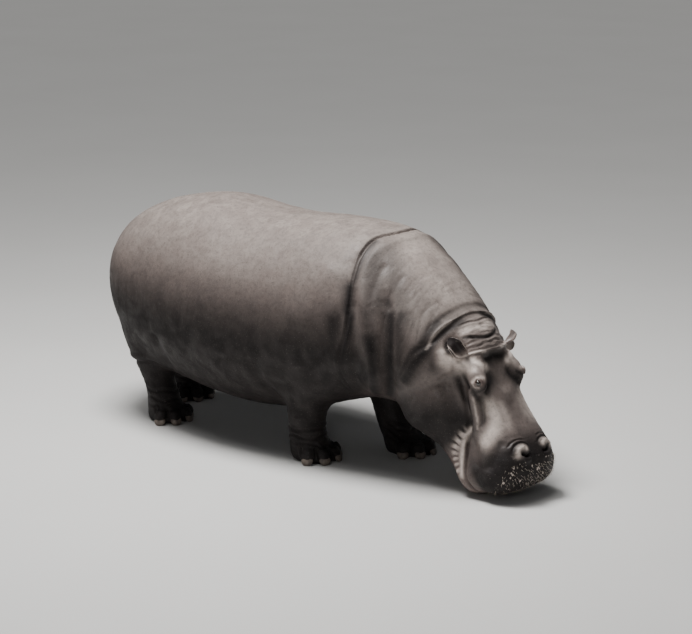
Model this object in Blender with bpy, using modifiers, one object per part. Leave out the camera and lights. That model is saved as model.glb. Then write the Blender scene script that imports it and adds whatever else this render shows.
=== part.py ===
"""Adult common hippopotamus, life size, standing with its muzzle lowered to the ground.

Run with: blender --background --python part.py

The flesh is blocked out with lofts and ellipsoids, fused into one skin by a voxel remesh,
given its folds with a few sculpting strokes, and parted by thin cuts into the pieces that a
person would name. X points forward, Y to the animal's left and Z up, in metres. The origin
is on the ground, in the middle of the animal's bounding box.
"""

import math

import bmesh
import bpy
import numpy as np
from mathutils import Matrix, Vector
from mathutils.bvhtree import BVHTree

# ---------------------------------------------------------------- driving dimensions
HALF_TRACK = 0.25  # from the midline to the middle of each foot
STRIDE = {  # how far forward each foot stands, and the top of its leg
    "front_right": (0.66, 0.74),
    "front_left": (1.00, 0.76),
    "hind_right": (-0.66, -0.76),
    "hind_left": (-0.97, -0.85),
}
LEG_TOP_HALF = 0.33  # from the midline to the top of each leg

POLL = Vector((1.82, 0.0, 0.869))  # top of the skull, between the ears
FACE_PITCH = math.radians(56)  # the face line below the horizontal

CUT = 0.0006  # width of the cuts that part the flesh
FIT_GAP = 0.0003  # clearance round an eye or a nail in its bed
SKIN_VOXEL = 0.016
SKIN_SMOOTHING, BODY_BLENDING = 7, 36
BLEND_FRONT, BLEND_LOW = 1.45, 0.26  # the trunk and neck, above the shanks, blend more
RING_POINTS = 40
TRUNK_RINGS, HEAD_RINGS, LEG_RINGS = 56, 40, 30

# Trunk and neck: x, height of the widest line, half width, rise to the back, drop to the
# belly, lean of the section in degrees, squareness of the outline.
TRUNK = {
    "rump end": (-1.19, 0.97, 0.10, 0.12, 0.14, 0, 2.0),
    "buttocks": (-1.12, 0.96, 0.29, 0.28, 0.36, 0, 2.0),
    "haunch": (-0.96, 0.93, 0.465, 0.43, 0.48, 0, 2.1),
    "hips": (-0.70, 0.89, 0.56, 0.57, 0.57, 0, 2.1),
    "loin": (-0.33, 0.85, 0.61, 0.670, 0.60, 0, 2.1),
    "barrel": (0.08, 0.83, 0.63, 0.650, 0.61, 0, 2.1),
    "ribs": (0.45, 0.84, 0.61, 0.645, 0.58, 0, 2.1),
    "shoulders": (0.78, 0.87, 0.57, 0.635, 0.53, 4, 2.1),
    "withers": (1.04, 0.88, 0.53, 0.600, 0.50, 13, 2.1),
    "neck": (1.25, 0.82, 0.475, 0.495, 0.43, 26, 2.1),
    "nape": (1.46, 0.73, 0.41, 0.390, 0.38, 40, 2.1),
    "throat": (1.62, 0.64, 0.32, 0.305, 0.33, 50, 2.0),
}

# Head, along the face line from the poll: distance, half width, top, bottom, squareness.
SKULL = {
    "nape": (-0.34, 0.12, -0.10, -0.32, 2.0),
    "occiput": (-0.17, 0.205, 0.025, -0.38, 2.2),
    "poll": (0.00, 0.225, 0.045, -0.42, 2.4),
    "brow": (0.13, 0.225, 0.02, -0.42, 2.5),
    "below the eyes": (0.25, 0.222, 0.003, -0.38, 2.5),
    "cheek bones": (0.36, 0.214, -0.010, -0.33, 2.4),
    "waist": (0.47, 0.216, -0.008, -0.29, 2.4),
    "tusk roots": (0.58, 0.240, 0.006, -0.29, 2.4),
    "nostrils": (0.68, 0.252, 0.003, -0.33, 2.6),
    "upper lip": (0.758, 0.252, -0.02, -0.345, 2.6),
    "lip front": (0.812, 0.210, -0.055, -0.285, 2.3),
    "lip end": (0.846, 0.13, -0.11, -0.205, 2.0),
}
JAW = {
    "jaw angle": (-0.08, 0.22, -0.20, -0.52, 2.1),
    "cheek": (0.03, 0.29, -0.16, -0.60, 2.3),
    "masseter": (0.15, 0.315, -0.16, -0.645, 2.4),
    "jowl": (0.28, 0.29, -0.18, -0.61, 2.4),
    "mouth corner": (0.41, 0.25, -0.20, -0.54, 2.3),
    "chin waist": (0.54, 0.25, -0.22, -0.503, 2.3),
    "lower lip": (0.66, 0.27, -0.22, -0.482, 2.4),
    "chin": (0.745, 0.235, -0.22, -0.460, 2.0),
    "chin end": (0.785, 0.15, -0.26, -0.36, 2.0),
}
EYE_AT = (0.20, 0.20, -0.005)  # along the face, to the side, out from the face line
EYE_RADIUS, EYE_PROUD, EYE_SEGMENTS = 0.024, 0.007, 12
# Rings round the eye: how far ahead of its centre and how wide, in eye radii, then the
# half width and the depth of the stroke (a ridge where it is negative).
LID_POINTS = 20
LID_RINGS = ((0.6, 1.25, 0.012, -0.008), (0.4, 2.3, 0.012, 0.006))
EAR_AT = (0.02, 0.180, -0.042)  # where the ear leaves the skull
EAR_WAYS = {  # from base to tip: the right ear is laid back, the left one stands out
    "right": (-0.85, -0.50, 0.155),
    "left": (-0.45, 0.885, 0.11),
}
EAR_OPENING = math.radians(60)  # how far its hollow is turned down the face
EAR_LENGTH, EAR_HALF_WIDTH, EAR_HALF_THICKNESS, EAR_CUP = 0.170, 0.056, 0.009, 0.030
EAR_SEGMENTS, EAR_RINGS = 14, 9
# The stalk, where the ear's length runs from -1 to 1, and its size as a share of the blade's.
EAR_STALK_END, EAR_STALK_BLEND, EAR_STALK_WIDTH, EAR_STALK_THICKNESS = -0.45, 1 / 3, 0.35, 1.5
HEAD_SWELLINGS = {  # of each side, in head space: the middle, then the half lengths
    "eye socket": ((0.18, 0.170, -0.02), (0.095, 0.055, 0.055)),
    "cheek": ((0.13, 0.225, -0.41), (0.20, 0.12, 0.20)),
    "nostril": ((0.675, 0.100, -0.03), (0.07, 0.05, 0.055)),
    "lip": ((0.72, 0.17, -0.20), (0.12, 0.10, 0.12)),
}
# Before the top of the leg, from the midline and above the ground, then the half lengths.
SHOULDER = ((0.06, 0.32, 0.82), (0.30, 0.19, 0.42))
THIGH = ((0.08, 0.28, 0.74), (0.28, 0.21, 0.36))
TAIL = (  # x, height, half width, half thickness: from the root down to the tip
    (-1.10, 1.040, 0.050, 0.048),
    (-1.17, 1.015, 0.044, 0.038),
    (-1.215, 0.950, 0.036, 0.026),
    (-1.230, 0.860, 0.030, 0.019),
    (-1.228, 0.770, 0.024, 0.014),
    (-1.218, 0.690, 0.015, 0.010),
)
TAIL_RINGS, TAIL_POINT_STEP = 10, 4  # the tail's outline needs a quarter of the points

# Strokes that shape the skin. A stroke follows a path on the right side, and its mirror
# image on the left: half width, depth (a ridge where it is negative), rim beside it.
BODY_STROKES = {
    "shoulder crease": (
        (0.019, 0.022, 0.012),
        ((1.15, 0.0, 1.48), (1.11, -0.19, 1.45), (1.12, -0.31, 1.37), (1.14, -0.40, 1.28),
         (1.16, -0.475, 1.11), (1.15, -0.505, 0.95), (1.11, -0.50, 0.78)),
    ),
    "elbow fold": ((0.025, 0.020, 0.008), ((0.44, -0.60, 0.62), (0.47, -0.52, 0.45), (0.50, -0.40, 0.34))),
    "brisket fold": (
        (0.040, -0.022, 0.0),
        ((1.24, -0.40, 1.20), (1.29, -0.43, 1.08), (1.335, -0.455, 0.86), (1.33, -0.41, 0.66),
         (1.25, -0.28, 0.51)),
    ),
    "throat crease": (
        (0.028, 0.022, 0.0),
        ((1.37, -0.42, 1.08), (1.42, -0.42, 0.88), (1.40, -0.38, 0.68), (1.32, -0.25, 0.52)),
    ),
    "fold behind the ear": (
        (0.024, -0.013, 0.0),
        ((1.73, 0.0, 1.06), (1.72, -0.14, 1.02), (1.69, -0.22, 0.98), (1.66, -0.30, 0.90),
         (1.58, -0.37, 0.86), (1.54, -0.39, 0.77)),
    ),
    "thigh fold": ((0.030, 0.018, 0.0), ((-0.47, -0.58, 0.66), (-0.46, -0.50, 0.48), (-0.50, -0.38, 0.36))),
    "hock fold": ((0.020, -0.012, 0.0), ((-0.86, -0.30, 0.40), (-0.74, -0.40, 0.42), (-0.60, -0.36, 0.44))),
}
HEAD_STROKES = {
    "poll crease": ((0.018, 0.008, 0.003), ((-0.05, 0.0, 0.05), (-0.06, -0.07, 0.04), (-0.06, -0.13, 0.02))),
    "poll fold": ((0.020, -0.006, 0.0), ((0.02, 0.0, 0.05), (0.01, -0.07, 0.04), (-0.01, -0.14, 0.01))),
    "brow ridge": (
        (0.026, -0.010, 0.0),
        ((0.09, -0.08, 0.03), (0.056, -0.16, 0.0), (0.02, -0.21, -0.06), (-0.02, -0.235, -0.11)),
    ),
    "forehead hollow": ((0.05, 0.016, 0.0), ((0.10, 0.0, 0.03), (0.20, 0.0, 0.01), (0.30, 0.0, -0.01))),
    "cheek groove": (
        (0.020, 0.022, 0.006),
        ((0.13, -0.21, -0.09), (0.20, -0.20, -0.12), (0.30, -0.18, -0.165), (0.37, -0.17, -0.19),
         (0.425, -0.17, -0.24)),
    ),
    "snout groove": (
        (0.016, 0.012, 0.0),
        ((0.27, -0.16, -0.06), (0.33, -0.16, -0.10), (0.39, -0.165, -0.165)),
    ),
    "mouth": (
        (0.016, 0.026, 0.008),
        ((0.41, -0.18, -0.24), (0.455, -0.21, -0.29), (0.505, -0.22, -0.33), (0.56, -0.23, -0.36),
         (0.64, -0.25, -0.37), (0.74, -0.24, -0.37), (0.81, -0.15, -0.35), (0.83, 0.0, -0.34)),
    ),
    "nostril": ((0.017, 0.026, 0.008), ((0.66, -0.125, 0.0), (0.68, -0.105, 0.01), (0.675, -0.085, 0.02))),
}
STROKE_STEP, STROKE_FADE = 0.01, 0.15
RIM_AT, STROKE_REACH = 1.9, 4  # in half widths from the middle of the stroke
FADE_POWER = 1.5
ON_MIDLINE = 1e-6

# Planes that part the flesh: a point on the plane and the way out of the piece behind it.
NECK_ROOT = ((1.07, 0.0, 0.90), (1.0, 0.0, -0.04))
HEAD_ROOT = ((1.70, 0.0, 1.03), (0.777, 0.0, -0.63))
MOUTH_PLANE = ((0.60, 0.0, -0.358), (0.108, 0.0, -1.0))  # in head space
ANKLE_HEIGHT = 0.135
FRONT_LEG_BOX = ((-0.26, 0.30), (0.04, 0.80), 0.52)  # behind and before the leg, across, height
HIND_LEG_BOX = ((-0.42, 0.30), (0.03, 0.80), 0.56)
BOX_DROP, BOX_SPARE = 0.2, 1.0
FAR = 6.0
FLESH_TRIANGLES = 4500  # before the folds are parted and the flats are cut
HEAD_FACTOR = 0.07  # how much more detail the head keeps than the body
HEAD_SHARE, BODY_SHARE = 0.5, 1.0

SKIN = (0.155, 0.125, 0.120)
FINISHES = {  # colour, roughness
    "trunk": (SKIN, 0.55),
    "neck": ((0.165, 0.128, 0.122), 0.55),
    "head": ((0.150, 0.118, 0.114), 0.50),
    "jaw": ((0.175, 0.130, 0.122), 0.50),
    "ear": ((0.200, 0.140, 0.128), 0.55),
    "leg": ((0.140, 0.112, 0.108), 0.55),
    "foot": ((0.130, 0.105, 0.100), 0.60),
    "tail": ((0.135, 0.108, 0.104), 0.60),
    "eye": ((0.030, 0.018, 0.012), 0.08),
    "nail": ((0.260, 0.215, 0.180), 0.40),
}

# Legs: height, half length and half width of the section, how far it lies behind the
# middle of the foot, and how far it has moved from the foot (0) to the top of the leg (1).
FRONT_LEG = (
    (-0.03, 0.135, 0.120, 0.00, 0.00),
    (0.05, 0.145, 0.130, 0.01, 0.02),
    (0.12, 0.125, 0.118, 0.04, 0.22),
    (0.21, 0.118, 0.112, 0.06, 0.42),
    (0.33, 0.135, 0.125, 0.06, 0.60),
    (0.47, 0.170, 0.150, 0.05, 0.78),
    (0.62, 0.205, 0.175, 0.02, 0.92),
    (0.80, 0.170, 0.130, 0.00, 1.00),
)
HIND_LEG = (
    (-0.03, 0.125, 0.110, 0.00, 0.00),
    (0.05, 0.135, 0.120, 0.00, 0.00),
    (0.12, 0.115, 0.108, 0.02, 0.00),
    (0.21, 0.107, 0.100, 0.04, 0.04),
    (0.33, 0.115, 0.108, 0.08, 0.16),
    (0.46, 0.155, 0.140, 0.07, 0.42),
    (0.62, 0.205, 0.180, 0.00, 0.78),
    (0.80, 0.130, 0.110, -0.04, 1.00),
)
LEG_SQUARENESS = 2.2
TOE_ANGLES = (-62, -22, 22, 62)
TOE_REACH, HIND_TOE_REACH = 0.112, 0.1064  # from the middle of the foot
TOE_RADII, TOE_HEIGHT = (0.055, 0.043, 0.05), 0.035
NAIL_RADII = (0.016, 0.023, 0.027)  # thickness, width, height
NAIL_HEIGHT, NAIL_SEGMENTS, TOE_LENGTH = 0.034, 8, 0.046


def clear_scene():
    for obj in list(bpy.data.objects):
        bpy.data.objects.remove(obj, do_unlink=True)


def collection(name):
    made = bpy.data.collections.new(name)
    bpy.context.scene.collection.children.link(made)
    return made


def smooth_rows(rows, count):
    """Rows of numbers, evened out to a smooth run of that many rows (Catmull-Rom)."""
    rows = np.asarray(list(rows), float)
    place = np.linspace(0, len(rows) - 1, count)
    i = np.clip(place.astype(int), 0, len(rows) - 2)
    f = (place - i)[:, None]
    before, here = rows[np.maximum(i - 1, 0)], rows[i]
    there, after = rows[i + 1], rows[np.minimum(i + 2, len(rows) - 1)]
    return 0.5 * (
        2 * here
        + (there - before) * f
        + (2 * before - 5 * here + 4 * there - after) * f**2
        + (3 * here - before - 3 * there + after) * f**3
    )


def outline(centre, across, up, half_width, rise, drop, squareness):
    """A closed ring of points: a rounded outline with its own height above and below."""
    angle = np.linspace(0, 2 * math.pi, RING_POINTS, endpoint=False)
    c, s = np.cos(angle), np.sin(angle)
    sideways = np.sign(c) * np.abs(c) ** (2 / squareness) * half_width
    upwards = np.sign(s) * np.abs(s) ** (2 / squareness) * np.where(s > 0, rise, drop)
    return np.asarray(centre) + np.outer(sideways, across) + np.outer(upwards, up)


def loft(name, rings):
    """A closed skin through rings that have the same number of points."""
    bm = bmesh.new()
    loops = [[bm.verts.new(p) for p in ring] for ring in rings]
    count = len(rings[0])
    for a, b in zip(loops, loops[1:]):
        for k in range(count):
            n = (k + 1) % count
            bm.faces.new((a[k], a[n], b[n], b[k]))
    bm.faces.new(loops[0])
    bm.faces.new(loops[-1])
    bmesh.ops.recalc_face_normals(bm, faces=bm.faces)
    return to_object(name, bm)


def to_object(name, bm):
    mesh = bpy.data.meshes.new(name)
    bm.to_mesh(mesh)
    bm.free()
    obj = bpy.data.objects.new(name, mesh)
    bpy.context.scene.collection.objects.link(obj)
    return obj


def ball(name, centre, radii, turn=None, segments=24):
    """An ellipsoid with its own half lengths, turned by a rotation matrix."""
    bm = bmesh.new()
    matrix = Matrix.Translation(centre) @ (turn or Matrix()).to_4x4()
    matrix = matrix @ Matrix.Diagonal((*radii, 1))
    bmesh.ops.create_uvsphere(
        bm, u_segments=segments, v_segments=segments // 2, radius=1, matrix=matrix
    )
    return to_object(name, bm)


def head_matrix():
    """Head space to the animal's: X along the face, Y to its left, Z out of the forehead."""
    return Matrix.Translation(POLL) @ Matrix.Rotation(FACE_PITCH, 4, "Y")


def in_head(along, side, out):
    return head_matrix() @ Vector((along, side, out))


def trunk_volume():
    rings = []
    for x, z, width, rise, drop, lean, square in smooth_rows(TRUNK.values(), TRUNK_RINGS):
        tilt = math.radians(lean)
        up = (math.sin(tilt), 0, math.cos(tilt))
        rings.append(outline((x, 0, z), (0, 1, 0), up, width, rise, drop, square))
    return loft("trunk volume", rings)


def head_volume(name, rows):
    turn = head_matrix().to_3x3()
    across, up = turn @ Vector((0, 1, 0)), turn @ Vector((0, 0, 1))
    rings = []
    for along, width, top, bottom, square in smooth_rows(rows.values(), HEAD_RINGS):
        centre = in_head(along, 0, (top + bottom) / 2)
        half = (top - bottom) / 2
        rings.append(outline(centre, across, up, width, half, half, square))
    return loft(name, rings)


def leg_volume(name, rows, foot, top):
    rings = []
    for z, length, width, behind, moved in smooth_rows(rows, LEG_RINGS):
        x = foot[0] - behind + (top[0] - foot[0]) * moved
        y = foot[1] + (top[1] - foot[1]) * moved
        rings.append(
            outline((x, y, z), (0, 1, 0), (1, 0, 0), width, length, length, LEG_SQUARENESS)
        )
    return loft(name, rings)


def feet():
    """Each leg's name with the place of its foot and of its top on the ground plan."""
    for name, (foot_x, top_x) in STRIDE.items():
        front, side = name.startswith("front"), -1 if name.endswith("right") else 1
        yield name, front, side, (foot_x, side * HALF_TRACK), (top_x, side * LEG_TOP_HALF)


def toe_places(foot, front):
    """Where a foot's four toes stand, and the way each points."""
    for angle in TOE_ANGLES:
        way = Vector((math.cos(math.radians(angle)), math.sin(math.radians(angle)), 0))
        reach = TOE_REACH if front else HIND_TOE_REACH
        yield Vector((*foot, 0.0)) + way * reach, angle


def flesh_volumes():
    volumes = [
        trunk_volume(),
        head_volume("skull volume", SKULL),
        head_volume("jaw volume", JAW),
    ]
    turn = head_matrix().to_3x3()
    for side in (-1, 1):
        for name, ((along, across, out), radii) in HEAD_SWELLINGS.items():
            volumes.append(ball(name + " volume", in_head(along, side * across, out), radii, turn))
    for name, front, side, foot, top in feet():
        rows = FRONT_LEG if front else HIND_LEG
        volumes.append(leg_volume(name + " volume", rows, foot, top))
        for place, angle in toe_places(foot, front):
            centre = place + Vector((0, 0, TOE_HEIGHT))
            toe_turn = Matrix.Rotation(math.radians(angle), 3, "Z")
            volumes.append(ball("toe volume", centre, TOE_RADII, toe_turn))
        (before, across, height), radii = SHOULDER if front else THIGH
        centre = (top[0] + before, side * across, height)
        volumes.append(ball("muscle volume", centre, radii))
    return volumes


def apply_modifiers(obj):
    graph = bpy.context.evaluated_depsgraph_get()
    mesh = bpy.data.meshes.new_from_object(obj.evaluated_get(graph))
    obj.modifiers.clear()
    obj.data = mesh
    return obj


def fuse(volumes):
    """One skin round all the volumes."""
    joined = bmesh.new()
    for obj in volumes:
        joined.from_mesh(obj.data)
        bpy.data.objects.remove(obj, do_unlink=True)
    body = to_object("flesh", joined)
    remesh = body.modifiers.new("Fuse", "REMESH")
    remesh.mode = "VOXEL"
    remesh.voxel_size = SKIN_VOXEL
    apply_modifiers(body)
    group = body.vertex_groups.new(name="body")
    places, _ = skin_arrays(body)
    inside = (places[:, 0] < BLEND_FRONT) & (places[:, 2] > BLEND_LOW)
    group.add(np.nonzero(inside)[0].tolist(), 1.0, "REPLACE")
    for name, rounds, region in (("Soften", SKIN_SMOOTHING, ""), ("Blend", BODY_BLENDING, "body")):
        smooth = body.modifiers.new(name, "SMOOTH")
        smooth.factor = 0.5
        smooth.iterations = rounds
        smooth.vertex_group = region
    apply_modifiers(body)
    body.vertex_groups.clear()
    return body


def skin_arrays(obj):
    """The places and the outward ways of a skin's points."""
    count = len(obj.data.vertices)
    places, ways = np.empty(count * 3), np.empty(count * 3)
    obj.data.vertices.foreach_get("co", places)
    obj.data.vertex_normals.foreach_get("vector", ways)
    return places.reshape(-1, 3), ways.reshape(-1, 3)


def surface(obj):
    bm = bmesh.new()
    bm.from_mesh(obj.data)
    tree = BVHTree.FromBMesh(bm)
    bm.free()
    return tree


def path_on(tree, points):
    """A smooth path through the points, laid on the surface."""
    points = np.asarray(points, float)
    length = np.linalg.norm(np.diff(points, axis=0), axis=1).sum()
    rows = smooth_rows(points, max(int(length / STROKE_STEP), 4))
    return np.array([tree.find_nearest(Vector(p))[0] for p in rows])


def distance_to(path, places):
    """How far each place is from a path, and how far along the path its nearest point is."""
    nearest, along_path = np.full(len(places), np.inf), np.zeros(len(places))
    for index, (a, b) in enumerate(zip(path, path[1:])):
        run = b - a
        along = np.clip((places - a) @ run / max(run @ run, 1e-12), 0, 1)
        away = np.linalg.norm(places - (a + along[:, None] * run), axis=1)
        closer = away < nearest
        nearest[closer] = away[closer]
        along_path[closer] = (index + along[closer]) / (len(path) - 1)
    return nearest, along_path


def stroke(obj, path, half_width, depth, rim, fade=0.0):
    """Presses a groove into the skin along a path, with a soft rim on both sides.

    The groove fades out over that share of its length at both ends.
    """
    places, ways = skin_arrays(obj)
    middle = path.mean(axis=0)
    reach = np.linalg.norm(path - middle, axis=1).max() + STROKE_REACH * half_width
    near = np.linalg.norm(places - middle, axis=1) < reach
    away, along = distance_to(path, places[near])
    away /= half_width
    shift = rim * np.exp(-((away - RIM_AT) ** 2)) - depth * np.exp(-(away**2))
    if fade:
        shift *= np.clip(np.minimum(along, 1 - along) / fade, 0, 1) ** FADE_POWER
    places[near] += ways[near] * shift[:, None]
    obj.data.vertices.foreach_set("co", places.ravel())
    obj.data.update()


def both_sides(points):
    """A path on the right side and its mirror image, joined where it meets the midline."""
    mirrored = [(x, -y, z) for x, y, z in points]
    if abs(points[0][1]) < ON_MIDLINE:
        return [mirrored[:0:-1] + points]
    if abs(points[-1][1]) < ON_MIDLINE:
        return [points + mirrored[-2::-1]]
    return [points, mirrored]


def ring_path(centre, normal, radius):
    """A closed path round a point, square to a direction."""
    turn = Vector(normal).to_track_quat("Z", "Y").to_matrix()
    points = []
    for angle in np.linspace(0, 2 * math.pi, LID_POINTS):
        points.append(Vector(centre) + turn @ Vector((math.cos(angle), math.sin(angle), 0)) * radius)
    return np.array(points)


def sculpt(body):
    """Folds and creases of the body and the head, the same on both sides."""
    tree = surface(body)
    jobs = []
    for (half_width, depth, rim), points in BODY_STROKES.values():
        jobs.append(([Vector(p) for p in points], half_width, depth, rim))
    for (half_width, depth, rim), points in HEAD_STROKES.values():
        jobs.append(([in_head(*p) for p in points], half_width, depth, rim))
    for points, half_width, depth, rim in jobs:
        for side in both_sides([tuple(p) for p in points]):
            stroke(body, path_on(tree, side), half_width, depth, rim, STROKE_FADE)


def eye_places(body):
    """Each eye's centre and the way it looks, from where it breaks the skin."""
    tree = surface(body)
    for name, side in (("right", -1), ("left", 1)):
        place, way, _, _ = tree.find_nearest(in_head(EYE_AT[0], side * EYE_AT[1], EYE_AT[2]))
        yield name, place - way * (EYE_RADIUS - EYE_PROUD), way


def lids(body, eyes):
    for _, centre, way in eyes:
        for ahead, radius, half_width, depth in LID_RINGS:
            ring = ring_path(centre + way * EYE_RADIUS * ahead, way, EYE_RADIUS * radius)
            stroke(body, ring, half_width, depth, 0.0)


def thin_out(body):
    """Fewer triangles, with the most left on the head."""
    group = body.vertex_groups.new(name="detail")
    places, _ = skin_arrays(body)
    along = (places - np.array(HEAD_ROOT[0])) @ np.array(HEAD_ROOT[1])
    for region, share in ((along > 0, HEAD_SHARE), (along <= 0, BODY_SHARE)):
        group.add(np.nonzero(region)[0].tolist(), share, "REPLACE")
    decimate = body.modifiers.new("Thin out", "DECIMATE")
    decimate.ratio = FLESH_TRIANGLES / (2 * len(body.data.polygons))
    decimate.vertex_group = group.name
    decimate.vertex_group_factor = HEAD_FACTOR
    apply_modifiers(body)
    body.vertex_groups.clear()
    return body


def block(name, low, high, turn=None):
    """A box between two corners, in its own turned frame."""
    bm = bmesh.new()
    low, high = Vector(low), Vector(high)
    matrix = (turn or Matrix()).to_4x4() @ Matrix.Translation((low + high) / 2)
    bmesh.ops.create_cube(bm, size=1, matrix=matrix @ Matrix.Diagonal((*(high - low), 1)))
    return to_object(name, bm)


def half_space(name, point, way):
    """A large box that fills the side of a plane that a direction points to."""
    turn = Vector(way).to_track_quat("X", "Z").to_matrix().to_4x4()
    matrix = Matrix.Translation(point) @ turn
    return block(name, (0, -FAR / 2, -FAR / 2), (FAR, FAR / 2, FAR / 2), matrix)


def carve(obj, cutter, operation):
    change = obj.modifiers.new("Carve", "BOOLEAN")
    change.operation = operation
    change.solver = "EXACT"
    change.object = cutter
    apply_modifiers(obj)
    bm = bmesh.new()
    bm.from_mesh(obj.data)
    bmesh.ops.remove_doubles(bm, verts=bm.verts, dist=0.00002)
    bmesh.ops.triangulate(bm, faces=bm.faces)
    bm.to_mesh(obj.data)
    bm.free()
    return obj


def copy_of(obj, name):
    made = bpy.data.objects.new(name, obj.data.copy())
    bpy.context.scene.collection.objects.link(made)
    return made


def split(obj, name, cutter, cutters):
    """Takes the piece inside a cutter off a solid, with a thin cut between the two."""
    piece = carve(copy_of(obj, name), cutter, "INTERSECT")
    wider = copy_of(cutter, cutter.name + " wider")
    bm = bmesh.new()
    bm.from_mesh(wider.data)
    bmesh.ops.recalc_face_normals(bm, faces=bm.faces)
    for vert in bm.verts:
        offset = Vector()
        for face in vert.link_faces:
            offset += face.normal
        vert.co += offset * CUT
    bm.to_mesh(wider.data)
    bm.free()
    carve(obj, wider, "DIFFERENCE")
    for tool in (cutter, wider):
        keep_cutter(tool, cutters)
    return piece


def keep_cutter(tool, cutters):
    bpy.context.scene.collection.objects.unlink(tool)
    cutters.objects.link(tool)
    tool.hide_render = True
    tool.display_type = "WIRE"


def ear_solid(name):
    """A small cupped leaf on a stalk, its hollow turned out and down the face."""
    turn = head_matrix().to_3x3()
    way = Vector(EAR_WAYS[name]).normalized()
    root = Vector(EAR_AT)
    root.y *= -1 if name == "right" else 1
    down_face = Vector((1, 0, 0)) - way * way.x
    out = Vector((0, 0, 1)) - way * way.z
    out -= down_face * (out @ down_face) / down_face.length_squared
    hollow = math.cos(EAR_OPENING) * out.normalized()
    hollow += math.sin(EAR_OPENING) * down_face.normalized()
    across = way.cross(hollow)
    bm = bmesh.new()
    bmesh.ops.create_uvsphere(bm, u_segments=EAR_SEGMENTS, v_segments=EAR_RINGS, radius=1)
    for vert in bm.verts:
        along, wide, thick = vert.co.z, vert.co.x, vert.co.y
        blade = 0.5 + 0.5 * math.tanh((along - EAR_STALK_END) / EAR_STALK_BLEND)
        wide *= EAR_HALF_WIDTH * (EAR_STALK_WIDTH + (1 - EAR_STALK_WIDTH) * blade)
        cup = EAR_CUP * (wide / EAR_HALF_WIDTH) ** 2 * blade
        thick *= EAR_HALF_THICKNESS * (EAR_STALK_THICKNESS + (1 - EAR_STALK_THICKNESS) * blade)
        thick += cup
        place = way * (0.5 + 0.5 * along) * EAR_LENGTH + across * wide + hollow * thick
        vert.co = in_head(*root) + turn @ place
    bmesh.ops.recalc_face_normals(bm, faces=bm.faces)
    return to_object("ear", bm)


def tail_solid():
    """A short flattened tail that hangs close to the rump."""
    rows = smooth_rows(TAIL, TAIL_RINGS)
    rings = []
    for row, after, before in zip(rows, [*rows[1:], rows[-1]], [rows[0], *rows[:-1]]):
        run = Vector((after[0] - before[0], 0, after[1] - before[1])).normalized()
        up = run.cross(Vector((0, 1, 0)))
        x, height, width, thickness = row
        ring = outline((x, 0, height), (0, 1, 0), up, width, thickness, thickness, 2.0)
        rings.append(ring[::TAIL_POINT_STEP])
    return loft("tail", rings)


def nail_solid(place, angle, growth=0.0):
    """A blunt hoof-like nail on the front of a toe."""
    way = Vector((math.cos(math.radians(angle)), math.sin(math.radians(angle)), 0))
    return ball(
        "nail",
        place + way * TOE_LENGTH + Vector((0, 0, NAIL_HEIGHT)),
        [radius + growth for radius in NAIL_RADII],
        Matrix.Rotation(math.radians(angle), 3, "Z"),
        NAIL_SEGMENTS,
    )


def root_cut(solid, body):
    """Ends a solid where it meets the body, with a thin cut between the two."""
    carve(solid, body, "DIFFERENCE")
    way = (solid_middle(solid) - surface(body).find_nearest(solid_middle(solid))[0]).normalized()
    solid.data.transform(Matrix.Translation(way * CUT))
    return solid


def solid_middle(obj):
    return Vector(skin_arrays(obj)[0].mean(axis=0))


def finish(obj, name, kind, parts):
    """Names a piece, gives it its own material and puts it with the other parts."""
    obj.name = obj.data.name = name
    colour, roughness = FINISHES[kind]
    material = bpy.data.materials.new(name)
    material.use_nodes = True
    shader = material.node_tree.nodes["Principled BSDF"]
    shader.inputs["Base Color"].default_value = (*colour, 1)
    shader.inputs["Roughness"].default_value = roughness
    shader.inputs["Metallic"].default_value = 0.0
    obj.data.materials.clear()
    obj.data.materials.append(material)
    obj.data.shade_smooth()
    obj.data.set_sharp_from_angle(angle=math.radians(40))
    bpy.context.scene.collection.objects.unlink(obj)
    parts.objects.link(obj)


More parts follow.
